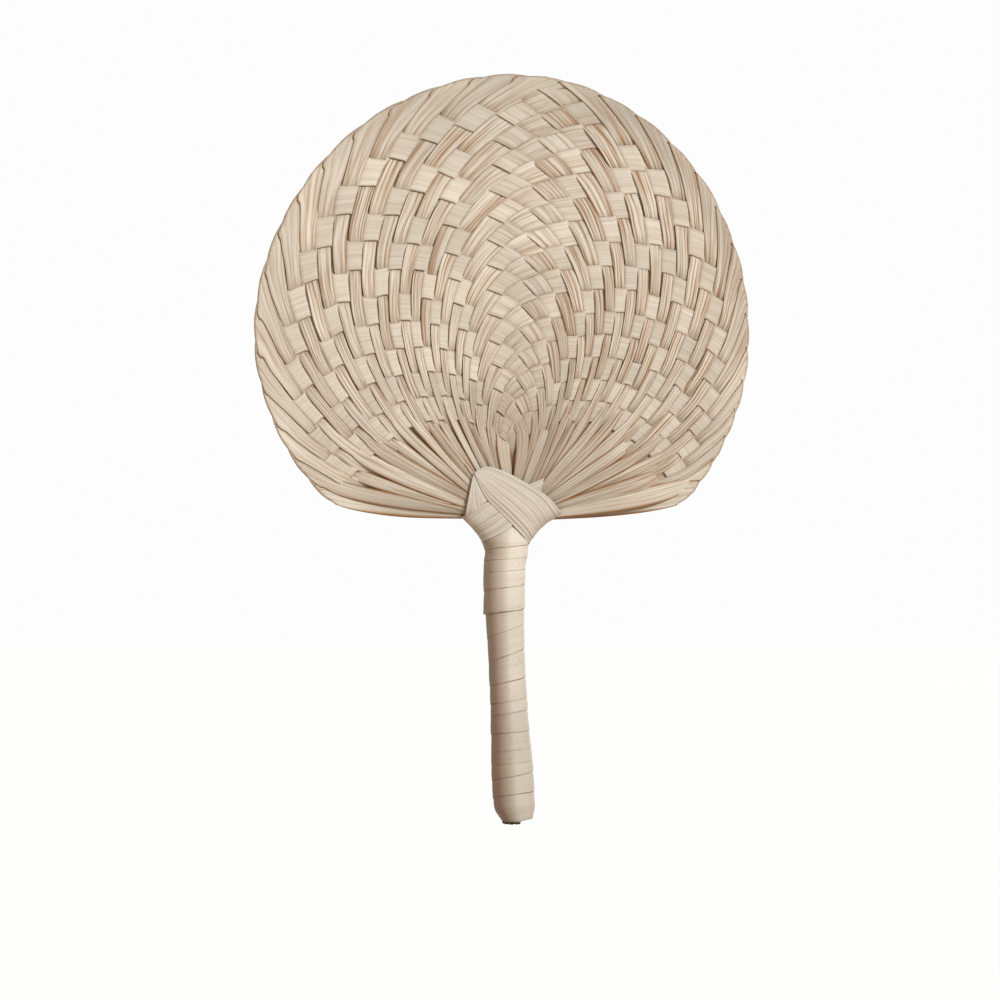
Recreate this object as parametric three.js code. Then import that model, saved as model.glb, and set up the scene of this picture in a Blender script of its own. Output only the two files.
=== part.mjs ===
import * as THREE from 'three';

// Palm leaf fan.
// Long leaf strips are folded in half at the rim and woven through each other in a twill.
// Both ends of every strip run down to the neck, where they are gathered on edge.
// Crossed leaf bands hold the neck and a wound leaf strip covers the handle.
// Millimetres, +Z up. The blade's face looks along -Y. The origin is in the middle of the grip.

// Driving sizes
const BLADE_RADIUS = 123;
const HANDLE_LENGTH = 160;
const HANDLE_RADIUS = 10.2;
const NECK_HALF_WIDTH = 24;
const STRIP_COUNT = 31;
const LEAF_THICKNESS = 0.42;
const LAYER_GAP = 0.34;
const STRIP_FILL = 0.82;
const BLADE_CAMBER = 3;
const BAND_THICKNESS = 0.5;
const WRAP_THICKNESS = 0.7;
const WRAP_GAP = 0.5;
const WRAP_TURNS_UPPER = 4;
const WRAP_TURNS_LOWER = 11;

// Shape of the weave
const CORNER_ANGLE = 86 * Math.PI / 180;
const LEAN_ANGLE = 4.5 * Math.PI / 180;
const LEAN_FOOT = 0.2;
const CENTRE_CROWDING = 1.4;
const CROWDING_FALL = 6;
const CENTRE_SOFTNESS = 0.06;
const HEM_HEIGHT = 0.276 * BLADE_RADIUS;
const HEM_RISE = 0.35 * BLADE_RADIUS;
const HEM_BEND = 1.5;
const TWILL_REPEAT = 3;
const OUTLINE_TRIANGLE = 0.0123;
const TRIANGLE_TURN = 0.866;
const OUTLINE_OVAL = 0.005;

// Places that follow from the sizes
const STEPS = 2 * Math.round((STRIP_COUNT - 1) / 2);
const HALF = 0.5 * STRIP_FILL / STEPS;
const FLAT = HALF + 0.28 * (1 - STRIP_FILL) / STEPS;
const LEVEL = 0.5 * (LEAF_THICKNESS + LAYER_GAP);
const GATHER_X = 0.0203 * BLADE_RADIUS;
const GATHER_Z = 0.552 * HANDLE_LENGTH;
const CENTRE_X = -0.0325 * BLADE_RADIUS;
const CENTRE_Z = 0.728 * BLADE_RADIUS;

// Gathered ends
const SLOT_SPAN = 97 * Math.PI / 180;
const SLOT_RADIUS = 0.4 * NECK_HALF_WIDTH + LAYER_GAP;
const SLOT_DEPTH = 0.15 * NECK_HALF_WIDTH;
const SLOT_SPLIT = 0.5 * LAYER_GAP;

// Neck and handle heights, measured from the gather point
const SHOULDER_Z = -0.15 * NECK_HALF_WIDTH;
const NECK_BASE_Z = -0.79 * NECK_HALF_WIDTH;
const BAND_TOP_Z = 0.73 * NECK_HALF_WIDTH;
const WRAP_TOP_Z = -0.17 * NECK_HALF_WIDTH;
const WRAP_JOINT_Z = -0.325 * HANDLE_LENGTH;
const BUTT_Z = -HANDLE_LENGTH;
const BUTT_STANDOFF = 2.5;
const CORE_GAP = 0.45;

function clamp(value, low, high) {
  return Math.min(high, Math.max(low, value));
}

function mix(a, b, t) {
  return a + (b - a) * t;
}

function ease(t) {
  const c = clamp(t, 0, 1);
  return c * c * (3 - 2 * c);
}

function ramp(from, to, value) {
  return ease((value - from) / (to - from));
}

// Distance from the gather point to the outline, angles counted from straight up to the left
// The outline is a circle that a slight oval and a rounded triangle make uneven
function rimRadius(angle) {
  const along = -Math.sin(angle) * CENTRE_X + Math.cos(angle) * CENTRE_Z;
  const away = CENTRE_X * CENTRE_X + CENTRE_Z * CENTRE_Z;
  const chord = Math.sqrt(BLADE_RADIUS * BLADE_RADIUS - away + along * along);
  const reach = along + chord;
  const turn = Math.atan2(reach * Math.sin(angle) + CENTRE_X, reach * Math.cos(angle) - CENTRE_Z);
  const triangle = OUTLINE_TRIANGLE * Math.cos(3 * turn + TRIANGLE_TURN);
  const swell = triangle + OUTLINE_OVAL * Math.cos(2 * turn);
  return reach + BLADE_RADIUS * BLADE_RADIUS * swell / chord;
}

// Height of the lowest crossing row over the gather point
function hemRadius(turn, side) {
  const kick = rimRadius(side * CORNER_ANGLE) - HEM_HEIGHT - HEM_RISE;
  const rise = Math.pow(Math.sin(0.5 * Math.PI * turn), HEM_BEND);
  return HEM_HEIGHT + HEM_RISE * rise + kick * Math.pow(turn, 6);
}

function softAbs(b) {
  const e = CENTRE_SOFTNESS;
  return (Math.sqrt(b * b + e * e) - e) / (Math.sqrt(1 + e * e) - e);
}

// Polar place of a point of the weave
// u counts the strips that start on the left, v the strips that start on the right
function weavePolar(u, v) {
  const a = u + v;
  const b = u - v;
  const side = b >= 0 ? 1 : -1;
  const s = softAbs(b);
  const inner = Math.min(s, 0.96);
  const f = clamp((a - inner) / (1 - inner), 0, 1);
  const crowd = Math.pow(1 - Math.min(Math.abs(b), 1), CROWDING_FALL);
  const spread = 1 + CENTRE_CROWDING * (1 - f) * crowd;
  const lean = LEAN_ANGLE * mix(LEAN_FOOT, 1, f) * Math.max(0, 1 - b * b);
  const angle = CORNER_ANGLE * b * spread - lean;
  const near = Math.min(1, inner / Math.max(s, 1e-6));
  const reach = rimRadius(angle * near) - hemRadius(inner * spread, side);
  const radius = hemRadius(s * spread, side) + (a - s) * reach / (1 - inner);
  return { angle, radius };
}

function place(angle, radius, level) {
  const share = clamp(radius / rimRadius(angle), 0, 1);
  const belly = Math.pow(Math.sin(Math.PI * share), 2);
  const x = GATHER_X - radius * Math.sin(angle);
  const z = GATHER_Z + radius * Math.cos(angle);
  return new THREE.Vector3(x, level - BLADE_CAMBER * belly, z);
}

function weavePoint(u, v, level) {
  const polar = weavePolar(u, v);
  return place(polar.angle, polar.radius, level);
}

// Twill: on the left the right-hand strip shows once in every repeat, on the right the left-hand strip
// The slant of the twill turns back at one strip in each half
const TURN_LEFT = 3 * Math.round(0.43 * STEPS / 3 + 0.33) - 1;
const TURN_RIGHT = TURN_LEFT + 2;

function mod(value, count) {
  return ((value % count) + count) % count;
}

function leftStripInFront(i, j) {
  if (i + j === STEPS) {
    return i >= j;
  }
  if (i >= j) {
    const lift = i <= TURN_LEFT ? i - 1 : 2 * TURN_LEFT - 1 - i;
    return mod(j - lift, TWILL_REPEAT) !== 0;
  }
  const lift = j <= TURN_RIGHT ? j - 2 : 2 * TURN_RIGHT - 2 - j;
  return mod(i - lift, TWILL_REPEAT) === 0;
}

// A closed ribbon: every section runs from edge p to edge q, past its middle points if it has any
// n is half the thickness as a vector
function ribbon(sections) {
  const corners = [];
  let around = 0;
  for (const { p, q, n, middle = [] } of sections) {
    const line = [p, ...middle, q];
    const far = line.map((point) => point.clone().sub(n)).reverse();
    corners.push(...line.map((point) => point.clone().add(n)), ...far);
    around = 2 * line.length;
  }
  const faces = [];
  for (let k = 0; k + 1 < sections.length; k += 1) {
    for (let c = 0; c < around; c += 1) {
      const a = around * k + c;
      const b = around * k + (c + 1) % around;
      faces.push([a, b, b + around], [a, b + around, a + around]);
    }
  }
  const last = corners.length - around;
  for (let c = 0; c + 1 < around / 2; c += 1) {
    const d = around - 1 - c;
    faces.push([c, d, d - 1], [c, d - 1, c + 1]);
    faces.push([last + c, last + d - 1, last + d], [last + c, last + c + 1, last + d - 1]);
  }
  return solid(corners, faces);
}

// Geometry from points and triangles, turned so that it faces out
function solid(points, faces) {
  let volume = 0;
  const cross = new THREE.Vector3();
  for (const [a, b, c] of faces) {
    cross.crossVectors(points[b], points[c]);
    volume += points[a].dot(cross);
  }
  const index = [];
  for (const [a, b, c] of faces) {
    index.push(a, volume > 0 ? b : c, volume > 0 ? c : b);
  }
  const geometry = new THREE.BufferGeometry();
  const flat = points.flatMap((point) => [point.x, point.y, point.z]);
  geometry.setAttribute('position', new THREE.Float32BufferAttribute(flat, 3));
  geometry.setIndex(index);
  geometry.computeVertexNormals();
  return geometry;
}

// One end of a strip, from its lowest crossing down to its place in the neck
// side is 1 on the left and -1 on the right, number counts from the middle outwards
function gatherEnd(side, number, level) {
  const start = number / STEPS;
  const rows = [start - HALF, start + HALF].map((w) => {
    return side > 0 ? weavePolar(w, -FLAT) : weavePolar(-FLAT, w);
  });
  const slot = side * SLOT_SPAN * (number + 0.5) / (STEPS + 1);
  const half = side * 0.05 / SLOT_RADIUS;
  const layer = number % 2 === 0 ? -1 : 1;
  const middle = layer * (0.5 * SLOT_DEPTH + SLOT_SPLIT);
  const ends = [
    { angle: slot - half, y: middle + 0.5 * SLOT_DEPTH },
    { angle: slot + half, y: middle - 0.5 * SLOT_DEPTH },
  ];
  const length = rows[0].radius - SLOT_RADIUS;
  const count = 3 + Math.round(length / (0.3 * BLADE_RADIUS));
  const path = [];
  for (let k = 0; k <= count; k += 1) {
    const g = k / count;
    const turned = ramp(0.1, 0.95, g);
    const edges = rows.map((row, e) => {
      const angle = mix(row.angle, ends[e].angle, ease(g));
      const radius = mix(row.radius, SLOT_RADIUS, g);
      const edge = place(angle, radius, 0);
      edge.y = mix(edge.y + level, ends[e].y, turned);
      return edge;
    });
    path.push(edges);
  }
  return path;
}

function halfThickness(p, q, travel, thickness) {
  const across = q.clone().sub(p);
  const normal = across.cross(travel).normalize();
  return normal.multiplyScalar(-0.5 * thickness);
}

function travelAt(path, k) {
  const from = path[Math.max(0, k - 1)];
  const to = path[Math.min(path.length - 1, k + 1)];
  const start = from.p.clone().add(from.q);
  return to.p.clone().add(to.q).sub(start);
}

// Crossings of one half of a strip as stations: where it is and whether it is in front
function stations(count, inFront) {
  const list = [];
  for (let k = 0; k < count; k += 1) {
    const at = k / STEPS;
    const front = inFront(k);
    const after = inFront(k + 1) === front;
    if (k > 0 && inFront(k - 1) !== front) {
      list.push({ at: at - FLAT, front });
    }
    list.push({ at: at + (after ? 0.5 / STEPS : FLAT), front });
  }
  return list;
}

// A whole strip: left end, left half, fold at the rim, right half, right end
function leafStrip(i) {
  const j = STEPS - i;
  const u = i / STEPS;
  const v = j / STEPS;
  const t = LEAF_THICKNESS;
  const leftFront = (k) => leftStripInFront(i, k);
  const rightFront = (k) => !leftStripInFront(k, j);
  const y = (front) => (front ? -LEVEL : LEVEL);
  const towards = new THREE.Vector3(0, -0.5 * t, 0);
  const away = new THREE.Vector3(0, 0.5 * t, 0);
  const sections = [];

  const leftEnd = gatherEnd(1, i, y(leftFront(0))).map(([p, q]) => ({ p, q })).reverse();
  leftEnd.forEach((section, k) => {
    const flat = k === leftEnd.length - 1;
    const travel = travelAt(leftEnd, k);
    section.n = flat ? towards.clone() : halfThickness(section.p, section.q, travel, t);
    sections.push(section);
  });

  for (const stop of stations(j, leftFront)) {
    const p = weavePoint(u - HALF, stop.at, y(stop.front));
    const q = weavePoint(u + HALF, stop.at, y(stop.front));
    sections.push({ p, q, n: towards.clone() });
  }

  const frontFirst = leftFront(j);
  const tipA = weavePoint(u - HALF, v + HALF, 0);
  const tipB = weavePoint(u + HALF, v - HALF, 0);
  const along = tipB.clone().sub(tipA).setY(0).normalize();
  const outward = new THREE.Vector3(along.z, 0, -along.x);
  const middle = new THREE.Vector3(GATHER_X + CENTRE_X, 0, GATHER_Z + CENTRE_Z);
  if (outward.dot(tipA.clone().sub(middle)) < 0) {
    outward.negate();
  }
  const first = frontFirst ? -1 : 1;
  for (let k = 0; k <= 2; k += 1) {
    const turn = 0.5 * Math.PI * k;
    const shift = outward.clone().multiplyScalar(LEVEL * Math.sin(turn));
    shift.y = first * LEVEL * Math.cos(turn);
    const n = outward.clone().multiplyScalar(-0.5 * first * t * Math.sin(turn));
    n.y = -0.5 * t * Math.cos(turn);
    sections.push({ p: tipA.clone().add(shift), q: tipB.clone().add(shift), n });
  }

  const back = stations(i, rightFront).reverse();
  for (const stop of back) {
    const p = weavePoint(stop.at, v + HALF, y(stop.front));
    const q = weavePoint(stop.at, v - HALF, y(stop.front));
    sections.push({ p, q, n: away.clone() });
  }

  const rightEnd = gatherEnd(-1, j, y(rightFront(0))).map(([p, q]) => ({ p: q, q: p }));
  rightEnd.forEach((section, k) => {
    const travel = travelAt(rightEnd, k);
    section.n = k === 0 ? away.clone() : halfThickness(section.p, section.q, travel, t);
    sections.push(section);
  });
  return ribbon(sections);
}

// Middle line of the handle, at a height above or below the gather point
function axisX(z) {
  const neck = -0.16 * NECK_HALF_WIDTH * ramp(SHOULDER_Z, 1.2 * NECK_BASE_Z, z);
  const low = clamp((z / BUTT_Z - 0.3) / 0.7, 0, 1);
  return GATHER_X + neck + 0.54 * HANDLE_RADIUS * Math.pow(low, 1.15);
}

// Radius over the leaf wrap: a slight waist, and a taper at the butt
function handleRadius(z) {
  const t = clamp(z / BUTT_Z, 0, 1);
  const waist = 1 - 0.145 * Math.pow(Math.sin(Math.PI * clamp((t - 0.17) / 0.72, 0, 1)), 2);
  const tip = 1 - 0.22 * ramp(0.93, 1, t);
  return 1.03 * HANDLE_RADIUS * waist * tip;
}

function coreRadius(z) {
  return handleRadius(z) - WRAP_THICKNESS - CORE_GAP;
}

// Half depth under the neck bands: a straight slope from the flat gather to the round handle
function neckDepth(z) {
  const flat = SLOT_DEPTH + SLOT_SPLIT + LAYER_GAP;
  const round = handleRadius(NECK_BASE_Z) + LAYER_GAP;
  return mix(flat, round, (z - BAND_TOP_Z) / (NECK_BASE_Z - BAND_TOP_Z));
}

// How far the neck is flared at a height: 1 at the shoulder, 0 at the handle
function flare(z) {
  const t = clamp((z - SHOULDER_Z) / (NECK_BASE_Z - SHOULDER_Z), 0, 1);
  return (1 - t) * (1 - t);
}

// Half width and half depth under the wrap
function bundleWidth(z) {
  const shoulder = NECK_HALF_WIDTH - 5 * BAND_THICKNESS;
  return mix(coreRadius(Math.min(z, NECK_BASE_Z)), shoulder, flare(z));
}

function bundleDepth(z) {
  const room = WRAP_THICKNESS + CORE_GAP + LAYER_GAP;
  return z > NECK_BASE_Z ? neckDepth(z) - room : coreRadius(z);
}

// Bundle of strip ends inside the handle, flared where the strips fan out
function handleCore() {
  const rings = [];
  const head = SLOT_RADIUS - CORE_GAP;
  const around = 20;
  for (let k = 1; k <= 5; k += 1) {
    const turn = 0.5 * Math.PI * k / 5;
    const depth = (SLOT_DEPTH + SLOT_SPLIT) * Math.sin(turn);
    rings.push({ z: head * Math.cos(turn), width: head * Math.sin(turn), depth });
  }
  rings.push({ z: 0.8 * SHOULDER_Z, width: head, depth: SLOT_DEPTH + SLOT_SPLIT });
  for (let k = 0; k <= 5; k += 1) {
    const z = mix(SHOULDER_Z, NECK_BASE_Z, k / 5);
    const slack = 2 * CORE_GAP * flare(z);
    rings.push({ z, width: bundleWidth(z) - slack, depth: bundleDepth(z) - slack });
  }
  const end = BUTT_Z + BUTT_STANDOFF;
  for (let k = 1; k <= 12; k += 1) {
    const z = mix(NECK_BASE_Z, end, k / 12);
    rings.push({ z, width: coreRadius(z), depth: coreRadius(z) });
  }
  const last = 0.7 * coreRadius(end);
  rings.push({ z: BUTT_Z, width: last, depth: last });

  const points = [new THREE.Vector3(GATHER_X, 0, GATHER_Z + head)];
  for (const ring of rings) {
    for (let c = 0; c < around; c += 1) {
      const turn = 2 * Math.PI * c / around;
      const x = axisX(ring.z) + ring.width * Math.cos(turn);
      points.push(new THREE.Vector3(x, ring.depth * Math.sin(turn), GATHER_Z + ring.z));
    }
  }
  points.push(new THREE.Vector3(axisX(BUTT_Z), 0, GATHER_Z + BUTT_Z));
  const faces = [];
  const foot = points.length - 1;
  const base = foot - around;
  for (let c = 0; c < around; c += 1) {
    const d = (c + 1) % around;
    faces.push([0, 1 + c, 1 + d], [foot, base + d, base + c]);
    for (let k = 0; k + 1 < rings.length; k += 1) {
      const a = 1 + k * around;
      const b = a + around;
      faces.push([a + c, b + c, b + d], [a + c, b + d, a + d]);
    }
  }
  return solid(points, faces);
}

// A leaf strip wound round the handle in one unbroken run, from the left side down
function handleWrap(name, { middleZ, turns, pitch, start, creases }) {
  const steps = 16;
  const width = pitch - WRAP_GAP;
  const sections = [];
  const count = Math.round(turns * steps);
  const lift = CORE_GAP + 0.5 * WRAP_THICKNESS;
  const edge = (z, turn) => {
    const x = axisX(z) + (bundleWidth(z) + lift) * Math.cos(turn);
    return new THREE.Vector3(x, (bundleDepth(z) + lift) * Math.sin(turn), GATHER_Z + z);
  };
  for (let k = 0; k <= count; k += 1) {
    const share = k === 0 ? start : k / steps;
    const turn = Math.PI - 2 * Math.PI * share;
    const z = middleZ - pitch * share;
    const n = new THREE.Vector3(Math.cos(turn), Math.sin(turn), 0);
    n.multiplyScalar(0.5 * WRAP_THICKNESS);
    const line = [];
    for (let c = 0; c <= creases + 1; c += 1) {
      line.push(edge(z + width * (0.5 - c / (creases + 1)), turn));
    }
    sections.push({ p: line.shift(), q: line.pop(), n, middle: line });
  }
  let least = Infinity;
  for (let k = 0; k < sections.length; k += 1) {
    for (let m = k + steps / 2; m < sections.length; m += 1) {
      least = Math.min(least, sections[k].q.distanceTo(sections[m].p));
    }
  }
  console.log(`${name}: least gap to itself ${least.toFixed(2)} mm`);
  return ribbon(sections);
}

// Point of a curved band edge: it leaves the first spot, bends at the second and ends at the third
function bend([a, b, c], t) {
  const first = a.clone().lerp(b, t);
  return first.lerp(b.clone().lerp(c, t), t);
}

// A leaf band laid as a sling: down the face, round the far shoulder and up the back
function neckSling(edges, layer) {
  const lift = layer * (BAND_THICKNESS + LAYER_GAP) + 0.5 * BAND_THICKNESS;
  const legs = 5;
  const bends = 8;
  const rows = edges.map((edge) => {
    const away = edge[2].clone().sub(edge[1]).normalize();
    let radius = neckDepth(edge[2].y) + lift;
    for (let k = 0; k < 8; k += 1) {
      radius = neckDepth(edge[2].y - away.y * radius) + lift;
    }
    const stop = 1 - 0.5 * radius / edge[2].distanceTo(edge[1]);
    const face = [];
    for (let k = 0; k < legs; k += 1) {
      const spot = bend(edge, stop * k / legs);
      face.push(new THREE.Vector3(spot.x, -neckDepth(spot.y) - lift, spot.y));
    }
    const round = [];
    for (let k = 0; k <= bends; k += 1) {
      const turn = Math.PI * k / bends;
      const spot = edge[2].clone().addScaledVector(away, radius * (Math.sin(turn) - 1));
      round.push(new THREE.Vector3(spot.x, -radius * Math.cos(turn), spot.y));
    }
    const back = face.map((point) => new THREE.Vector3(point.x, -point.y, point.z)).reverse();
    return [...face, ...round, ...back];
  });
  const path = rows[0].map((p, k) => ({ p, q: rows[1][k] }));
  for (const { p, q } of path) {
    p.x += GATHER_X;
    q.x += GATHER_X;
    p.z += GATHER_Z;
    q.z += GATHER_Z;
  }
  path.forEach((section, k) => {
    section.n = halfThickness(section.p, section.q, travelAt(path, k), BAND_THICKNESS);
  });
  return ribbon(path);
}

// A folded leaf that shows beside the crossed bands, with its outer edge drawn in to the strips
function sideLeaf() {
  const lift = 0.5 * BAND_THICKNESS;
  const w = NECK_HALF_WIDTH;
  const path = [];
  for (let k = 0; k <= 4; k += 1) {
    const t = k / 4;
    const inner = new THREE.Vector2(mix(-0.72, -0.46, t), mix(0.58, 0.17, t)).multiplyScalar(w);
    const outer = new THREE.Vector2(mix(-0.8, -0.97, t), mix(0.55, -0.15, t)).multiplyScalar(w);
    const inward = mix(neckDepth(outer.y), neckDepth(BAND_TOP_Z), 0.6) + lift;
    const p = new THREE.Vector3(GATHER_X + inner.x, -neckDepth(inner.y) - lift, GATHER_Z + inner.y);
    const q = new THREE.Vector3(GATHER_X + outer.x, -inward, GATHER_Z + outer.y);
    path.push({ p, q });
  }
  path.forEach((section, k) => {
    section.n = halfThickness(section.p, section.q, travelAt(path, k), BAND_THICKNESS);
  });
  return ribbon(path);
}

const fan = new THREE.Group();
fan.name = 'palm_leaf_fan';

function add(name, geometry, color, roughness) {
  const material = new THREE.MeshStandardMaterial({ color, roughness, metalness: 0 });
  const mesh = new THREE.Mesh(geometry, material);
  mesh.name = name;
  fan.add(mesh);
}

for (let i = 0; i <= STEPS; i += 1) {
  add(`leaf_strip_${String(i + 1).padStart(2, '0')}`, leafStrip(i), 0xcdb892, 0.75);
}

add('handle_core', handleCore(), 0x6b4a2e, 0.9);

const upperPitch = (WRAP_TOP_Z - WRAP_JOINT_Z) / (WRAP_TURNS_UPPER + 0.5);
const lowerPitch = (WRAP_JOINT_Z - BUTT_Z - BUTT_STANDOFF) / (WRAP_TURNS_LOWER + 0.5);
const upperStart = WRAP_TOP_Z - 0.5 * upperPitch;
const upper = handleWrap('handle_wrap_upper', {
  middleZ: upperStart,
  turns: WRAP_TURNS_UPPER,
  pitch: upperPitch,
  start: 0,
  creases: 1,
});
const lower = handleWrap('handle_wrap_lower', {
  middleZ: upperStart - WRAP_TURNS_UPPER * upperPitch - 0.5 * (upperPitch - lowerPitch),
  turns: WRAP_TURNS_LOWER,
  pitch: lowerPitch,
  start: WRAP_GAP / (2 * Math.PI * HANDLE_RADIUS),
  creases: 0,
});
add('handle_wrap_upper', upper, 0xd9c3a0, 0.6);
add('handle_wrap_lower', lower, 0xd9c3a0, 0.6);

const spot = (x, z) => new THREE.Vector2(x, z).multiplyScalar(NECK_HALF_WIDTH);
const bandLeft = neckSling([
  [spot(-0.6, 0.73), spot(0.15, 0.66), spot(1, -0.19)],
  [spot(-0.77, 0.69), spot(-0.55, 0.1), spot(0.39, -0.77)],
], 1);
const bandRight = neckSling([
  [spot(0.62, 0.56), spot(-0.1, 0.42), spot(-0.98, -0.22)],
  [spot(0.68, 0.5), spot(0.4, -0.35), spot(-0.63, -0.72)],
], 0);
add('neck_band_left', bandLeft, 0xd6c09c, 0.6);
add('neck_band_right', bandRight, 0xd6c09c, 0.6);
add('neck_side_leaf', sideLeaf(), 0xcbb48c, 0.65);

export default fan;
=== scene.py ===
# %% [markdown]
# # A woven palm leaf fan
# The fan is made of nothing but dry palm leaf. Long strips are folded in half at the rim and woven
# through each other in a twill. Their ends are gathered in a neck, held by crossed bands of leaf,
# and bound into a handle with wound strips.
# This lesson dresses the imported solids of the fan. It loads them as a fixed frame, builds a finer
# leaf for every solid in the same place, and gives each leaf a finish made of shader nodes.

# %% Load the frame
import math

import bpy
import numpy as np
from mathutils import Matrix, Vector


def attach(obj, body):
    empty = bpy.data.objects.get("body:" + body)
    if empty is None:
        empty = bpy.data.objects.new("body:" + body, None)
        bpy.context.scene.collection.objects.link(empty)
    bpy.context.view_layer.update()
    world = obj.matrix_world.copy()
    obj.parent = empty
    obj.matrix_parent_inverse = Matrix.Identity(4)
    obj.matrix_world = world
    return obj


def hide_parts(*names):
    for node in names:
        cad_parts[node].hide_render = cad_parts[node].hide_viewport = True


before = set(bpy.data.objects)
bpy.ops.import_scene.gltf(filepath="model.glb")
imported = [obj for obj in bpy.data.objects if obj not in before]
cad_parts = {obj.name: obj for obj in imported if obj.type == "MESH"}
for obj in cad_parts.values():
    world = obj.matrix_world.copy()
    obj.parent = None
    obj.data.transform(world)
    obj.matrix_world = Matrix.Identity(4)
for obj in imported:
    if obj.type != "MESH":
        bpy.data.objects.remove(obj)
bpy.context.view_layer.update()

print("frame:", len(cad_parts), "nodes")

# %% [markdown]
# ## Sizes
# All lengths in this script are in millimetres, as on a maker's drawing, and are turned into metres
# only when a mesh is written. The blade is a circle that is not centred on the neck, so both points
# are named. Heights in the neck and handle count from the gather point, where the strips meet.

# %% Driving sizes
MM = 0.001
STRIP_NODES = sorted(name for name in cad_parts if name.startswith("leaf_strip"))
STEPS = len(STRIP_NODES) - 1
BLADE_RADIUS = 123.0
HANDLE_LENGTH = 160.0
HANDLE_RADIUS = 10.2
NECK_HALF_WIDTH = 24.0
BLADE_CAMBER = 3.0

GATHER_X = 0.0203 * BLADE_RADIUS
GATHER_Z = 0.552 * HANDLE_LENGTH
CENTRE_X = -0.0325 * BLADE_RADIUS
CENTRE_Z = 0.728 * BLADE_RADIUS
print("blade", 2 * BLADE_RADIUS, "mm wide, woven from", len(STRIP_NODES), "strips")


# %% [markdown]
# ## The rule of the weave
# Every crossing has two numbers: how many strips it is from the middle on the left, and on the right.
# One map turns that pair into a place on the blade. Near the neck the map is a fan of rays, and at
# the rim it follows the outline circle. Because all strips use the same map, they always meet.

# %% Weave map
CORNER_ANGLE = math.radians(86)
LEAN_ANGLE = math.radians(4.5)
LEAN_FOOT = 0.2
CENTRE_CROWDING = 1.4
CROWDING_FALL = 6
CENTRE_SOFTNESS = 0.06
HEM_HEIGHT = 0.276 * BLADE_RADIUS
HEM_RISE = 0.35 * BLADE_RADIUS
HEM_BEND = 1.5
HEM_KICK = 6
TRIANGLE = 0.0123
TRIANGLE_TURN = 0.866
OVAL = 0.005
CORNER_LIMIT = 0.96


def smooth(low, high, value):
    """0 below one value, 1 above another, eased in between."""
    t = np.clip((np.asarray(value, float) - low) / (high - low), 0, 1)
    return t * t * (3 - 2 * t)


def mix(a, b, t):
    """A value between two, at a share of the way."""
    return a + (b - a) * t


def rim_radius(angle):
    """Distance from the gather point to the outline: a circle that the maker left a little uneven."""
    along = -np.sin(angle) * CENTRE_X + np.cos(angle) * CENTRE_Z
    chord = np.sqrt(BLADE_RADIUS ** 2 - CENTRE_X ** 2 - CENTRE_Z ** 2 + along ** 2)
    reach = along + chord
    turn = np.arctan2(reach * np.sin(angle) + CENTRE_X, reach * np.cos(angle) - CENTRE_Z)
    swell = TRIANGLE * np.cos(3 * turn + TRIANGLE_TURN) + OVAL * np.cos(2 * turn)
    return reach + BLADE_RADIUS ** 2 * swell / chord


def hem_radius(turn, side):
    """Distance from the gather point to the lowest row of crossings."""
    kick = rim_radius(side * CORNER_ANGLE) - HEM_HEIGHT - HEM_RISE
    rise = np.sin(0.5 * np.pi * np.maximum(turn, 0)) ** HEM_BEND
    return HEM_HEIGHT + HEM_RISE * rise + kick * turn ** HEM_KICK


def soft_abs(b):
    """The distance from the middle line, rounded where it would have a sharp corner."""
    e = CENTRE_SOFTNESS
    return (np.sqrt(b * b + e * e) - e) / (math.sqrt(1 + e * e) - e)


def weave_polar(u, v):
    """Angle (from straight up to the left) and radius of a point of the weave."""
    a, b = u + v, u - v
    side = np.where(b >= 0, 1.0, -1.0)
    s = soft_abs(b)
    inner = np.minimum(s, CORNER_LIMIT)
    f = np.clip((a - inner) / (1 - inner), 0, 1)
    spread = 1 + CENTRE_CROWDING * (1 - f) * (1 - np.minimum(np.abs(b), 1)) ** CROWDING_FALL
    lean = LEAN_ANGLE * mix(LEAN_FOOT, 1.0, f)
    angle = CORNER_ANGLE * b * spread - lean * np.maximum(0, 1 - b * b)
    near = np.minimum(1, inner / np.maximum(s, 1e-6))
    reach = rim_radius(angle * near) - hem_radius(inner * spread, side)
    radius = hem_radius(s * spread, side) + (a - s) * reach / (1 - inner)
    return angle, radius


def place(angle, radius):
    """A point on the blade in millimetres. The blade is a shallow dish, towards the viewer."""
    share = np.clip(radius / rim_radius(angle), 0, 1)
    y = -BLADE_CAMBER * np.sin(np.pi * share) ** 2
    return np.stack([GATHER_X - radius * np.sin(angle), y, GATHER_Z + radius * np.cos(angle)], -1)


# %% [markdown]
# ## Over and under
# The weave is a twill: on each half of the blade the strips that rise from the neck there lie over two
# and under one. A repeat of three shifts by one strip each row, which draws columns of small squares
# beside the middle line. Further out the shift turns back, and the squares run along the rim instead.

# %% Twill
TWILL_REPEAT = 3
TURN_SHARE = 0.43
TURN_LEFT = TWILL_REPEAT * round((TURN_SHARE * STEPS + 1) / TWILL_REPEAT) - 1
TURN_RIGHT = TURN_LEFT + 2


def left_in_front(i, j):
    """True where the strip that rises on the left shows at its crossing with one from the right."""
    if i + j == STEPS:
        return i >= j
    if i >= j:
        lift = i - 1 if i <= TURN_LEFT else 2 * TURN_LEFT - 1 - i
        return (j - lift) % TWILL_REPEAT != 0
    lift = j - 2 if j <= TURN_RIGHT else 2 * TURN_RIGHT - 2 - j
    return (i - lift) % TWILL_REPEAT == 0


print("the squares turn along the rim at strip", TURN_LEFT, "on the left and", TURN_RIGHT, "on the right")

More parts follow.
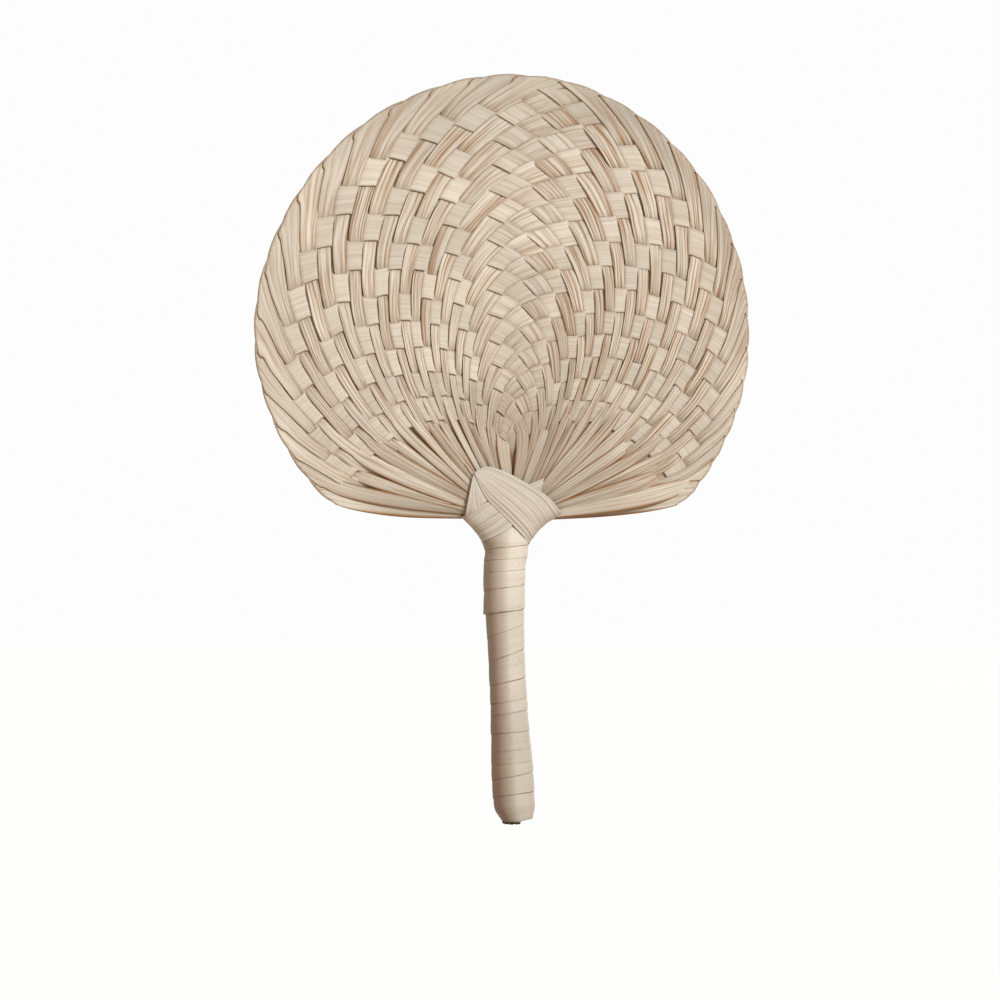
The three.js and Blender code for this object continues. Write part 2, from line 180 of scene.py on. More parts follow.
# %% [markdown]
# ## A strip as a guide
# A strip starts as a flat grid of points: rows along it, columns across it. Each row knows how far it
# is in front of the blade's middle, which way its ribs stand out, and how strongly it is pleated.
# Leaf is pleated where it rises from the neck and opens flat once it has passed the middle line, so
# the squares are smooth and the rising strips are ribbed.

# %% Over and under along a strip
FLAT_DIVE = (0.38, 1.0)
RIBBED_DIVE = (0.08, 0.92)
SHOWN_REACH = (0.44, 0.7)


def swing(k, states, own):
    """Level of a strip, from -1 behind to 1 in front. A flat strip stays in front a little longer."""
    k = np.clip(k, 0, len(states) - 1)
    low = np.floor(k).astype(int)
    high = np.minimum(low + 1, len(states) - 1)
    before, after = states[low], states[high]
    away = np.where(before > after, k - low, 1 - (k - low))
    start, stop = mix(FLAT_DIVE[0], RIBBED_DIVE[0], own), mix(FLAT_DIVE[1], RIBBED_DIVE[1], own)
    t = np.clip((away - start) / (stop - start), 0, 1)
    return mix(np.maximum(before, after), np.minimum(before, after), t * t * (3 - 2 * t))


def shown_share(k, states):
    """1 where a strip shows on a crossing, falling to 0 where it goes under its neighbours."""
    away = np.full(len(k), np.inf)
    for q, state in enumerate(states):
        if state > 0:
            away = np.minimum(away, np.abs(k - q))
    return 1 - smooth(*SHOWN_REACH, away)


def between(k, values):
    """Values at the crossings, eased in between."""
    k = np.clip(k, 0, len(values) - 1)
    low = np.floor(k).astype(int)
    return mix(values[low], values[np.minimum(low + 1, len(values) - 1)], smooth(0, 1, k - low))


def in_front(number, k, left):
    """1 where a strip shows at its crossing k, -1 where it is behind."""
    over = left_in_front(number, k) if left else not left_in_front(k, number)
    return 1.0 if over else -1.0


# %% [markdown]
# The widths are shares of the distance between two strips. A rising strip is narrower than that, which
# leaves the dark line beside it. A flat strip widens where it goes under, so the sheet has no holes.

# %% Width and sway of a strip
FLAT_FILL = (1.1, 0.99)
HIDDEN_FILL = 1.25
RIBBED_FILL = 0.87
HEM_FILL = 1.05
RIM_FILL = 1.1
FLAT_EASE = (0.05, 0.3)
HEM_EASE = (0.3, 1.6)
FLAT_RIM = (2.4, 1.2)
RIBBED_RIM = (2.0, 1.0)
ASIDE_PUSH = 0.03
WIDTH_WAVES = 9
WIDTH_WANDER = 0.04
DRIFT_WAVES = 6
DRIFT_WANDER = 0.05


def wander(rng, count, waves, size):
    """A slow random wave within plus and minus a size, for hand-made unevenness."""
    t = np.linspace(0, 1, count)
    total = np.zeros(count)
    for wave in range(1, waves + 1):
        total += rng.normal() * np.sin(2 * np.pi * wave * t + rng.uniform(0, 2 * np.pi)) / math.sqrt(waves)
    return size * np.clip(total, -1, 1)


def near_rim(k, other, reach):
    """0 in the blade and 1 at the rim, eased between two distances from the rim in crossings."""
    return smooth(other - reach[0], other - reach[1], k)


def strip_fill(k, number, other, states, ribbed):
    """Width of a strip as a share of the distance between two strips."""
    flat = mix(FLAT_FILL[0], FLAT_FILL[1], smooth(*FLAT_EASE, (k - number) / STEPS))
    flat = mix(HIDDEN_FILL, flat, shown_share(k, states))
    flat = mix(flat, RIM_FILL, near_rim(k, other, FLAT_RIM))
    rising = mix(HEM_FILL, RIBBED_FILL, smooth(*HEM_EASE, k))
    rising = mix(rising, RIM_FILL, near_rim(k, other, RIBBED_RIM))
    return mix(flat, rising, ribbed)


def aside_push(k, number, other, left):
    """How far a strip is pushed aside where the neighbour on one side dives under."""
    push = np.zeros(other + 1)
    for side in (-1, 1):
        beside = min(max(number + side, 0), STEPS)
        under = np.array([in_front(beside, min(q, STEPS - beside), left) < 0 for q in range(other + 1)])
        push -= side * ASIDE_PUSH * under
    return between(k, push) * smooth(*HEM_EASE, k)


# %% [markdown]
# ## Where the strips leave the weave
# Under the lowest crossing a strip runs on to the neck as a loose leaf. The path is a Hermite curve: it
# leaves in the direction of the woven part and arrives in the direction of the neck. On the way the
# leaf turns on edge, so it tilts and overlaps its neighbour. Every second leaf lies behind the others,
# and painted shade makes it browner there, where little light gets in.

# %% Loose end
COLUMNS = 25
ACROSS = np.linspace(-1, 1, COLUMNS)
SLOT_RADIUS = 11.0
SLOT_SPAN = math.radians(97)
SLOT_HEIGHT = -5.5
SLOT_RISE = 7.5
SLOT_HALF = 1.3
SLOT_UNEVEN = 0.05
PULL = 0.7
FRONT_WIDEN = (0.25, 1.25)
RIGHT_WIDEN = 0.15
BACK_WIDEN = (0.3, 0.6)
WIDEN_BEND = 0.7


def lies_in_front(number):
    """Every second loose leaf lies in front of the others."""
    return number % 2 == 1


def loose_path(start, heading, lean, g, widen):
    """Points of a loose leaf for shares g of the way to the neck."""
    middle = COLUMNS // 2
    x = -SLOT_RADIUS * math.sin(lean) - ACROSS * SLOT_HALF * math.cos(lean)
    z = SLOT_HEIGHT + SLOT_RISE * math.cos(lean) - ACROSS * SLOT_HALF * math.sin(lean)
    slot = np.stack([GATHER_X + x, np.zeros(COLUMNS), GATHER_Z + z], -1)
    pull = slot - start
    length = np.linalg.norm(pull[middle])
    if heading is None:
        heading = pull[middle] / length
    t = g[:, None, None]
    path = start * (1 + 2 * t) * (1 - t) ** 2 + heading * length * PULL * t * (1 - t) ** 2
    path = path + slot * t * t * (3 - 2 * t) + pull * PULL * t * t * (t - 1)
    axis = path[:, middle:middle + 1]
    return axis + (path - axis) * (1 + widen * np.sin(np.pi * t) ** WIDEN_BEND)


def loose_end(hem, above, g, number, left, rng):
    """A loose leaf from the hem to the neck. It heads away from a point of the strip above the hem."""
    middle = COLUMNS // 2
    heading = None
    if above is not None:
        heading = hem[middle] - above[middle]
        heading = heading / np.linalg.norm(heading)
    way = 1 if left else -1
    lean = way * SLOT_SPAN * (number + 0.5) / (STEPS + 1) + rng.normal() * SLOT_UNEVEN
    if lies_in_front(number):
        widen = rng.uniform(*FRONT_WIDEN) + (0.0 if left else RIGHT_WIDEN)
    else:
        widen = rng.uniform(*BACK_WIDEN)
    return loose_path(hem, heading, lean, g, widen)


# %% [markdown]
# ## Brown edges and painted shade
# Dry leaf is brown along its edges, partly its own colour and partly painted shade between the strips.
# Where a strip dives under another, the brown is partly stain and partly painted shadow. Where a loose
# leaf lies behind the others, or near the middle, it gets painted shade. The amount is worked out for
# every point of the guide here, and the finish reads it later.

# %% Brown edges and painted shade
# Brown at the strip edges: partly the leaf's own colour, partly painted shade between the strips.
EDGE_START = (0.84, 0.58)
EDGE_BROWN_AND_SHADE = (0.35, 0.65)
# Painted shade on loose leaves near the middle and on those that lie behind.
INNER_SHADE = 0.2
INNER_REACH = (0.0, 0.3)
BACK_SHADE = (0.55, 0.1)
BACK_REACH = (0.8, 0.97)
# Where a strip dives under another: partly stain, partly painted shadow.
DIVE_STAIN_AND_SHADE = 0.6
DIVE_CALM = 0.6


def brown_and_shaded_edges(number, own, level, loose, rim):
    """How brown the points of half a strip are, from 0 to 1, partly leaf colour and partly painted shade."""
    start = mix(EDGE_START[0], EDGE_START[1], loose)[:, None]
    strength = mix(mix(EDGE_BROWN_AND_SHADE[0], EDGE_BROWN_AND_SHADE[1], own), 1.0, rim)
    edge = smooth(start, 1.0, np.abs(ACROSS)[None, :]) * mix(strength, 1.0, loose)[:, None]
    outer = number / STEPS
    hidden = INNER_SHADE * (1 - smooth(*INNER_REACH, outer))
    if not lies_in_front(number):
        hidden = hidden + mix(BACK_SHADE[0], BACK_SHADE[1], smooth(*BACK_REACH, outer))
    dive = DIVE_STAIN_AND_SHADE * (1 - np.abs(level)) * (1 - DIVE_CALM * own) * (1 - loose)
    return np.maximum(np.maximum(edge, hidden * loose[:, None]), dive[:, None])


# %% [markdown]
# ## Half a strip
# Half a strip is its loose end and its woven part up to the rim. The rows know how many crossings they
# are from the hem and how far along the loose end they are, and everything else follows from these two.

# %% Half a strip
ROWS_PER_CROSSING = 7
GATHER_ROWS = 30
LEVEL = 0.8
SHINGLE = 0.35
RIBBED_EASE = (-0.12, 0.12)
NARROW_EASE = (0.02, 0.22)
LOOSE_EASE = (0.0, 0.35)
SKEW_RIM = (1.2, 0.0)
PLEAT_RIM = (3.0, 1.0)
BROWN_RIM = (1.6, 0.6)
FOLD_WIDEN = 0.3
FLAT_PLEAT = 0.12
LOOSE_PLEAT = 0.68
RIM_PLEAT = 0.5
LEAF_TILT = (1.0, 2.2)
TILT_UNEVEN = (-0.8, 1.0)
LEAF_BULGE = 0.6
LEAF_LAYER = 1.2
LAYER_UNEVEN = (0.6, 1.3)


def half_strip(number, other, left, rng):
    """Rows of one half of a strip, from the neck to the rim."""
    states = np.array([in_front(number, k, left) for k in range(other + 1)])
    woven = other * ROWS_PER_CROSSING + 1
    k = np.concatenate([np.zeros(GATHER_ROWS), np.linspace(0, other, woven)])
    g = np.concatenate([np.linspace(1, 0, GATHER_ROWS, endpoint=False), np.zeros(woven)])
    count = len(k)
    own = smooth(*RIBBED_EASE, (number - k) / STEPS)
    narrow = smooth(*NARROW_EASE, (number - k) / STEPS)
    level = swing(k, states, own)
    skew = near_rim(k, other, SKEW_RIM) if other else np.ones(count)
    fill = strip_fill(k, number, other, states, narrow)
    fill = fill * (1 + wander(rng, count, WIDTH_WAVES, WIDTH_WANDER)) + FOLD_WIDEN * skew
    half = 0.5 * fill[:, None] / STEPS
    drift = wander(rng, count, DRIFT_WAVES, DRIFT_WANDER) + narrow * aside_push(k, number, other, left)
    way = 1 if left else -1
    c = ACROSS[None, :]
    fixed = (number + (drift * (1 - g))[:, None]) / STEPS + way * c * half
    run = k[:, None] / STEPS - way * c * half * skew[:, None]
    angle, radius = weave_polar(fixed, run) if left else weave_polar(run, fixed)
    points = place(angle, radius)
    hem = GATHER_ROWS
    above = points[hem + ROWS_PER_CROSSING // 2] if other else None
    points[:hem] = loose_end(points[hem], above, g[:hem], number, left, rng)
    loose = smooth(*LOOSE_EASE, g)
    tilt = mix(LEAF_TILT[0], LEAF_TILT[1], g) * rng.uniform(*TILT_UNEVEN)
    layer = LEAF_LAYER * rng.uniform(*LAYER_UNEVEN) * (1 if lies_in_front(number) else -1)
    height = mix(level * LEVEL, layer, loose)
    points[..., 1] -= height[:, None] + SHINGLE * (level * (1 - loose))[:, None] * c
    points[..., 1] -= loose[:, None] * (tilt[:, None] * c * way + LEAF_BULGE * (1 - c * c))
    out = np.zeros_like(points)
    out[..., 1] = -mix(level, 1.0, loose)[:, None]
    pleat = mix(FLAT_PLEAT, 1.0, own) * mix(1.0, LOOSE_PLEAT, loose)
    pleat = pleat * mix(1.0, RIM_PLEAT, near_rim(k, other, PLEAT_RIM))
    return points, out, pleat, brown_and_shaded_edges(number, own, level, loose, near_rim(k, other, BROWN_RIM))


# %% [markdown]
# ## The fold at the rim
# The two halves meet in a fold that turns round the rim. The fold is a little wider than the strip and
# sits askew, so the folds lie over each other like the turns of a rope.

# %% Whole strip
FOLD_ROWS = 6
FOLD_TWIST = 0.5
FOLD_BUMP = 1.4
FOLD_SINK = 1.1
FOLD_BROWN = 0.45
STRIP_SEED = 100


def strip_guide(i):
    """The whole strip: up the left, over the fold and down the right."""
    rng = np.random.default_rng(STRIP_SEED + i)
    j = STEPS - i
    a_points, a_out, a_pleat, a_edge = half_strip(i, j, True, rng)
    b_points, b_out, b_pleat, b_edge = half_strip(j, i, False, rng)
    first = in_front(i, j, True)
    crease = 0.5 * (a_points[-1] + b_points[-1]) * [1, 0, 1]
    outward = crease - np.array([GATHER_X + CENTRE_X, 0, GATHER_Z + CENTRE_Z])
    outward /= np.linalg.norm(outward, axis=1)[:, None]
    loop = (LEVEL * (1 - FOLD_TWIST * ACROSS * first))[:, None]
    bump = FOLD_BUMP * (1 - ACROSS ** 2)[:, None]
    fold_points, fold_out = [], []
    for turn in np.linspace(0, np.pi, FOLD_ROWS + 2)[1:-1]:
        around = outward * math.sin(turn) + np.array([0, -first * math.cos(turn), 0])
        fold_points.append(crease + loop * around + outward * (bump - FOLD_SINK))
        fold_out.append(around)
    points = np.concatenate([a_points, np.array(fold_points), b_points[::-1]])
    out = np.concatenate([a_out, np.array(fold_out), b_out[::-1]])
    fold_pleat = np.full(FOLD_ROWS, 0.5 * (a_pleat[-1] + b_pleat[-1]))
    pleat = np.concatenate([a_pleat, fold_pleat, b_pleat[::-1]])
    window = np.ones(ROWS_PER_CROSSING) / ROWS_PER_CROSSING
    padded = np.pad(pleat, ROWS_PER_CROSSING, mode="edge")
    pleat = np.convolve(padded, window, mode="same")[ROWS_PER_CROSSING:-ROWS_PER_CROSSING]
    fold_edge = np.full((FOLD_ROWS, COLUMNS), FOLD_BROWN)
    edge = np.concatenate([a_edge, fold_edge, b_edge[::-1]])
    return points, out, pleat, edge


# %% [markdown]
# ## From a guide to a mesh
# The guide is written as a plain grid mesh. What the leaf needs later travels with the points as named
# attributes: where a point is along and across the leaf, which way the ribs stand out, and how deep
# the pleats are. Attributes survive modifiers, so Geometry Nodes and the shader can both read them.

# %% Grid mesh
GRID_SEED = 900
RIB_SPREAD = 0.045
RIB_PHASE = 6.0
GRAIN_STEP = 17.3


def store(mesh, label, kind, values):
    """A named attribute on the points of a mesh."""
    field = "vector" if kind == "FLOAT_VECTOR" else "value"
    layer = mesh.attributes.new(label, kind, "POINT")
    layer.data.foreach_set(field, np.asarray(values, np.float32).reshape(-1))


def new_object(name, data):
    """An object for some data, linked to the scene. It sits at the origin."""
    piece = bpy.data.objects.new(name, data)
    bpy.context.scene.collection.objects.link(piece)
    return piece


def leaf_grid(name, points, out, pleat, tone, seed, line=None):
    """A grid mesh in metres with the attributes that the pleating and the finish read."""
    rows, columns = points.shape[:2]
    index = np.arange(rows * columns).reshape(rows, columns)
    quads = np.stack([index[:-1, :-1], index[:-1, 1:], index[1:, 1:], index[1:, :-1]], -1).reshape(-1, 4)
    mesh = bpy.data.meshes.new(name)
    mesh.from_pydata((points.reshape(-1, 3) * MM).tolist(), [], quads.tolist())
    steps = np.linalg.norm(np.diff(points[:, columns // 2], axis=0), axis=1)
    width = np.linalg.norm(np.diff(points, axis=1), axis=2).sum(1)
    even = np.linspace(0, 1, columns)
    phase = np.random.default_rng(int(GRID_SEED + seed)).uniform(0, RIB_PHASE)
    uneven = even + RIB_SPREAD * np.sin(2 * np.pi * even + phase) * np.sin(np.pi * even)
    grain = np.zeros((rows, columns, 3))
    grain[..., 0] = (even[None, :] - 0.5) * np.median(width)
    grain[..., 1] = np.concatenate([[0], np.cumsum(steps)])[:, None]
    grain[..., 2] = seed * GRAIN_STEP
    full = np.ones((rows, columns))
    store(mesh, "across", "FLOAT", full * uneven)
    store(mesh, "pleat", "FLOAT", full * pleat[:, None])
    store(mesh, "tone", "FLOAT", full * tone)
    store(mesh, "line", "FLOAT", full * (0.0 if line is None else line))
    store(mesh, "out", "FLOAT_VECTOR", out)
    store(mesh, "grain", "FLOAT_VECTOR", grain)
    return new_object(name, mesh)


# %% [markdown]
# ## Pleats with Geometry Nodes
# A pleat is a rounded rib between two grooves. The tree reads where a point is across the leaf, lets
# the grooves wander a little along the leaf with a noise, and moves the point out by the height of the
# rib. It also keeps how deep in a groove each point is, because grooves are dark: partly the leaf's
# own brown and partly painted shade.

# %% Node helpers
def add_node(tree, kind, values=None, **settings):
    """A node with its settings, its input values and its links in one call."""
    node = tree.nodes.new(kind)
    for key, value in settings.items():
        setattr(node, key, value)
    for key, value in (values or {}).items():
        socket = node.inputs[key]
        if isinstance(value, bpy.types.NodeSocket):
            tree.links.new(value, socket)
        else:
            socket.default_value = value
    return node


def math_node(tree, operation, *values):
    """The result of a math node on numbers or sockets."""
    return add_node(tree, "ShaderNodeMath", dict(enumerate(values)), operation=operation).outputs[0]


def map_range(tree, value, given, wanted):
    """A value carried from one range to another, and held within it."""
    limits = {0: value, 1: given[0], 2: given[1], 3: wanted[0], 4: wanted[1]}
    return add_node(tree, "ShaderNodeMapRange", limits).outputs[0]


def named(tree, label, kind="FLOAT"):
    """An attribute of the mesh, read inside Geometry Nodes."""
    node = add_node(tree, "GeometryNodeInputNamedAttribute", {"Name": label}, data_type=kind)
    return node.outputs["Attribute"]


def tree_inputs(tree, sockets):
    """Named inputs of a tree. Returns the group's input node and each socket's identifier."""
    tree.interface.new_socket("Geometry", in_out="INPUT", socket_type="NodeSocketGeometry")
    tree.interface.new_socket("Geometry", in_out="OUTPUT", socket_type="NodeSocketGeometry")
    identifiers = {}
    for label in sockets:
        kind = "NodeSocketMaterial" if label == "Finish" else "NodeSocketFloat"
        socket = tree.interface.new_socket(label, in_out="INPUT", socket_type=kind)
        identifiers[label] = socket.identifier
    return tree.nodes.new("NodeGroupInput"), identifiers


# %% Pleat tree
SWAY_SCALE = 0.035
CRUMPLE_SCALE = (1.1, 0.015)
CRUMPLE_HEIGHT = 0.8
RIB_HEIGHT = 0.7
FADE_SCALE = (0.4, 0.03)
FADE_RANGE = (0.38, 0.6)
FADE_LEAST = 0.25


def streak_noise(tree, grain, across, along, seed):
    """A noise that is stretched along the leaf."""
    x = math_node(tree, "MULTIPLY", grain.outputs["X"], across)
    y = math_node(tree, "MULTIPLY", grain.outputs["Y"], along)
    spot = add_node(tree, "ShaderNodeCombineXYZ", {0: x, 1: y, 2: seed}).outputs[0]
    return add_node(tree, "ShaderNodeTexNoise", {"Vector": spot, "Scale": 1.0, "Detail": 2.0}).outputs["Fac"]


def pleat_tree():
    """Ribs on a guide, with the depth of their grooves kept as an attribute."""
    tree = bpy.data.node_groups.new("pleated_leaf", "GeometryNodeTree")
    source, identifiers = tree_inputs(tree, ["Ribs", "Depth", "Sharp", "Wander", "Seed", "Finish"])
    grain = add_node(tree, "ShaderNodeSeparateXYZ", {0: named(tree, "grain", "FLOAT_VECTOR")})
    slow = math_node(tree, "MULTIPLY", grain.outputs["Y"], SWAY_SCALE)
    spot = add_node(tree, "ShaderNodeCombineXYZ", {0: slow, 1: source.outputs["Seed"]}).outputs[0]
    noise = add_node(tree, "ShaderNodeTexNoise", {"Vector": spot, "Scale": 1.0, "Detail": 1.0})
    sway = math_node(tree, "SUBTRACT", noise.outputs["Fac"], 0.5)
    sway = math_node(tree, "MULTIPLY", sway, source.outputs["Wander"])
    count = math_node(tree, "MULTIPLY_ADD", named(tree, "across"), source.outputs["Ribs"], sway)
    wave = math_node(tree, "SINE", math_node(tree, "MULTIPLY", count, math.pi))
    rib = math_node(tree, "POWER", math_node(tree, "ABSOLUTE", wave), source.outputs["Sharp"])
    pleat = named(tree, "pleat")
    crumple = streak_noise(tree, grain, *CRUMPLE_SCALE, source.outputs["Seed"])
    shape = math_node(tree, "MULTIPLY", rib, RIB_HEIGHT)
    shape = math_node(tree, "MULTIPLY_ADD", crumple, CRUMPLE_HEIGHT, shape)
    height = math_node(tree, "MULTIPLY", math_node(tree, "MULTIPLY", shape, pleat), source.outputs["Depth"])
    lift = add_node(tree, "ShaderNodeVectorMath", {0: named(tree, "out", "FLOAT_VECTOR")}, operation="SCALE")
    tree.links.new(height, lift.inputs["Scale"])
    moved = add_node(tree, "GeometryNodeSetPosition",
                     {0: source.outputs["Geometry"], "Offset": lift.outputs[0]})
    patchy = streak_noise(tree, grain, *FADE_SCALE, source.outputs["Seed"])
    fade = map_range(tree, patchy, FADE_RANGE, (FADE_LEAST, 1.0))
    # Groove depth, or the line attribute where that is more, is the brown the finish paints: partly leaf
    # colour, partly painted shade.
    groove = math_node(tree, "MULTIPLY", math_node(tree, "SUBTRACT", 1.0, rib), pleat)
    groove = math_node(tree, "MAXIMUM", math_node(tree, "MULTIPLY", groove, fade), named(tree, "line"))
    kept = add_node(tree, "GeometryNodeStoreNamedAttribute", {0: moved.outputs[0], "Name": "groove"})
    tree.links.new(groove, kept.inputs["Value"])
    real = add_node(tree, "GeometryNodeRealizeInstances", {0: kept.outputs[0]})
    painted = add_node(tree, "GeometryNodeSetMaterial",
                       {0: real.outputs[0], "Material": source.outputs["Finish"]})
    add_node(tree, "NodeGroupOutput", {0: painted.outputs[0]})
    return tree, identifiers


PLEATS, PLEAT_INPUTS = pleat_tree()
print("pleat tree with", len(PLEATS.nodes), "nodes")

# %% [markdown]
# ## From modifiers to a plain mesh
# A leaf is a sheet, so Solidify gives it a thickness after the pleats. Then the evaluated result
# replaces the guide, and the modifiers go. What is left is a closed mesh that any program can read.

# %% Finish a leaf
LEAF_THICKNESS = 0.28


def bake(piece):
    """The evaluated mesh of a piece takes the place of its guide."""
    graph = bpy.context.evaluated_depsgraph_get()
    result = piece.evaluated_get(graph)
    mesh = bpy.data.meshes.new_from_object(result, preserve_all_data_layers=True, depsgraph=graph)
    piece.modifiers.clear()
    old = piece.data
    piece.data = mesh
    bpy.data.meshes.remove(old)
    mesh.name = piece.name
    mesh.shade_smooth()
    return piece


def pleat_leaf(piece, finish, ribs, depth, sharp, sway, seed, thickness=LEAF_THICKNESS):
    """Ribs and a thickness for a guide. The depth and the thickness are in millimetres."""
    modifier = piece.modifiers.new("pleats", "NODES")
    modifier.node_group = PLEATS
    values = {"Ribs": ribs, "Depth": depth * MM, "Sharp": sharp, "Wander": sway, "Seed": seed,
              "Finish": finish}
    for label, value in values.items():
        modifier[PLEAT_INPUTS[label]] = value
    wall = piece.modifiers.new("wall", "SOLIDIFY")
    wall.thickness = thickness * MM
    wall.offset = 0
    return bake(piece)


def settle(piece, slot, *nodes):
    """Every piece rides on the fan's one body and stands for its solid."""
    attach(piece, "root")
    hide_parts(*nodes)


# %% [markdown]
# ## Dry leaf
# Dry palm leaf is straw coloured with fine fibres along its length, and a little glossy where it is
# smooth. It is brown in its grooves and at its edges, partly its own colour and partly painted shade.
# The fibres are a noise that is stretched along the leaf. It reads the grain attribute, so it follows
# every bend of the weave. A second stretched noise picks the few dark veins of the ribbed parts.

# %% Finish helpers
def empty_material(name):
    """A material with no nodes yet, and its tree."""
    material = bpy.data.materials.new(name)
    material.use_nodes = True
    material.node_tree.nodes.clear()
    return material, material.node_tree


def ramp_node(tree, factor, stops):
    """A colour ramp with a colour at every stop."""
    node = add_node(tree, "ShaderNodeValToRGB", {"Fac": factor})
    while len(node.color_ramp.elements) < len(stops):
        node.color_ramp.elements.new(0.5)
    for element, (position, color) in zip(node.color_ramp.elements, stops):
        element.position = position
        element.color = (*color, 1)
    return node.outputs["Color"]


def mix_color(tree, kind, factor, a, b):
    """Two colours mixed. The node has hidden sockets of other types, so only enabled ones are used."""
    node = add_node(tree, "ShaderNodeMix", {}, data_type="RGBA", blend_type=kind)
    for label, value in (("Factor", factor), ("A", a), ("B", b)):
        socket = [s for s in node.inputs if s.name == label and s.enabled][0]
        if isinstance(value, bpy.types.NodeSocket):
            tree.links.new(value, socket)
        else:
            socket.default_value = value
    return [s for s in node.outputs if s.enabled][0]


def attribute(tree, label, output="Fac"):
    """An attribute of the mesh, read inside a material."""
    return add_node(tree, "ShaderNodeAttribute", {}, attribute_name=label).outputs[output]


def noise_at(tree, spot, scale, detail):
    """Noise read at a place, from 0 to 1."""
    node = add_node(tree, "ShaderNodeTexNoise", {"Vector": spot, "Scale": scale, "Detail": detail})
    return node.outputs["Fac"]


def surface(tree, color, roughness, gloss, height, strength, distance):
    """The shader that ends a finish. The last three values are its bump, with the distance in mm."""
    bump = add_node(tree, "ShaderNodeBump",
                    {"Height": height, "Strength": strength, "Distance": distance * MM})
    shader = add_node(tree, "ShaderNodeBsdfPrincipled", {
        "Base Color": color, "Roughness": roughness, "Specular IOR Level": gloss,
        "Normal": bump.outputs[0]})
    add_node(tree, "ShaderNodeOutputMaterial", {"Surface": shader.outputs[0]})


# %% [markdown]
# The colour is built up in steps: straw along the fibres in the tone of the piece, then the dark
# veins, then the brown that the groove attribute carries, partly leaf colour and partly painted shade,
# and on the wound leaf the specks.

# %% Colour of the leaf
COARSE_FIBRE = (0.9, 0.02)
FINE_FIBRE = (2.8, 0.05)
VEIN_FIBRE = (2.1, 0.018)
FINE_SHARE = 0.45
FLAT_CONTRAST = 0.35
FIBRE_MIDDLE = 0.56
STRAW_RANGE = (0.3, 0.62)
BLOTCH_SCALE = 38.0
BLOTCH_TONE = 0.25
VEIN_RANGE = (0.38, 0.45)
VEIN_BROWN = 0.75
FLAT_VEIN = 0.08
RIBBED_VEIN = 0.9
SPECK_SCALE = 900.0
PATCH_SCALE = 60.0
PATCH_SHARE = 0.35
SPECK_BROWN = 0.6


def fibre_noise(tree, grain, scale, detail):
    """A noise with a scale across and a scale along the leaf, both in cycles per millimetre."""
    stretched = add_node(tree, "ShaderNodeMapping", {"Vector": grain, "Scale": (*scale, 1)})
    return noise_at(tree, stretched.outputs[0], 1.0, detail)


def straw_color(tree, fibre, spot, dark, light):
    """Dark and light fibres in the tone of the piece. Flat leaf has less contrast than ribbed leaf."""
    contrast = math_node(tree, "MULTIPLY_ADD", attribute(tree, "pleat"), 1 - FLAT_CONTRAST, FLAT_CONTRAST)
    calm = math_node(tree, "SUBTRACT", fibre, 0.5)
    calm = math_node(tree, "MULTIPLY_ADD", calm, contrast, FIBRE_MIDDLE)
    straw = ramp_node(tree, calm, list(zip(STRAW_RANGE, (dark, light))))
    blotch = noise_at(tree, spot, BLOTCH_SCALE, 2.0)
    tone = math_node(tree, "MULTIPLY_ADD", blotch, BLOTCH_TONE, attribute(tree, "tone"))
    gray = add_node(tree, "ShaderNodeCombineColor", {0: tone, 1: tone, 2: tone}).outputs[0]
    return mix_color(tree, "MULTIPLY", 1.0, straw, gray)


def veins(tree, grain):
    """A few thin dark lines along the leaf, most of them on ribbed parts."""
    streak = fibre_noise(tree, grain, VEIN_FIBRE, 2)
    vein = map_range(tree, streak, VEIN_RANGE, (VEIN_BROWN, 0.0))
    share = math_node(tree, "MULTIPLY_ADD", attribute(tree, "pleat"), RIBBED_VEIN, FLAT_VEIN)
    return math_node(tree, "MULTIPLY", vein, share)


def specks_on(tree, spot, limit):
    """Small dark specks where a fine noise passes a limit. A slower noise gathers them in patches."""
    patch = noise_at(tree, spot, PATCH_SCALE, 1.0)
    grit = math_node(tree, "MULTIPLY_ADD", patch, PATCH_SHARE, noise_at(tree, spot, SPECK_SCALE, 1.0))
    return math_node(tree, "MULTIPLY", math_node(tree, "GREATER_THAN", grit, limit), SPECK_BROWN)


# %% Leaf finish
GROOVE_BEND = 1.3
GROOVE_GAIN = 1.2
ROUGH_SPREAD = 0.2
LEAF_GLOSS = 0.2
FIBRE_BUMP = 0.3
FIBRE_HEIGHT = 0.2
BLADE_DARK, BLADE_LIGHT = (0.335, 0.233, 0.138), (0.583, 0.557, 0.493)
BLADE_GROOVE = (0.235, 0.115, 0.042)


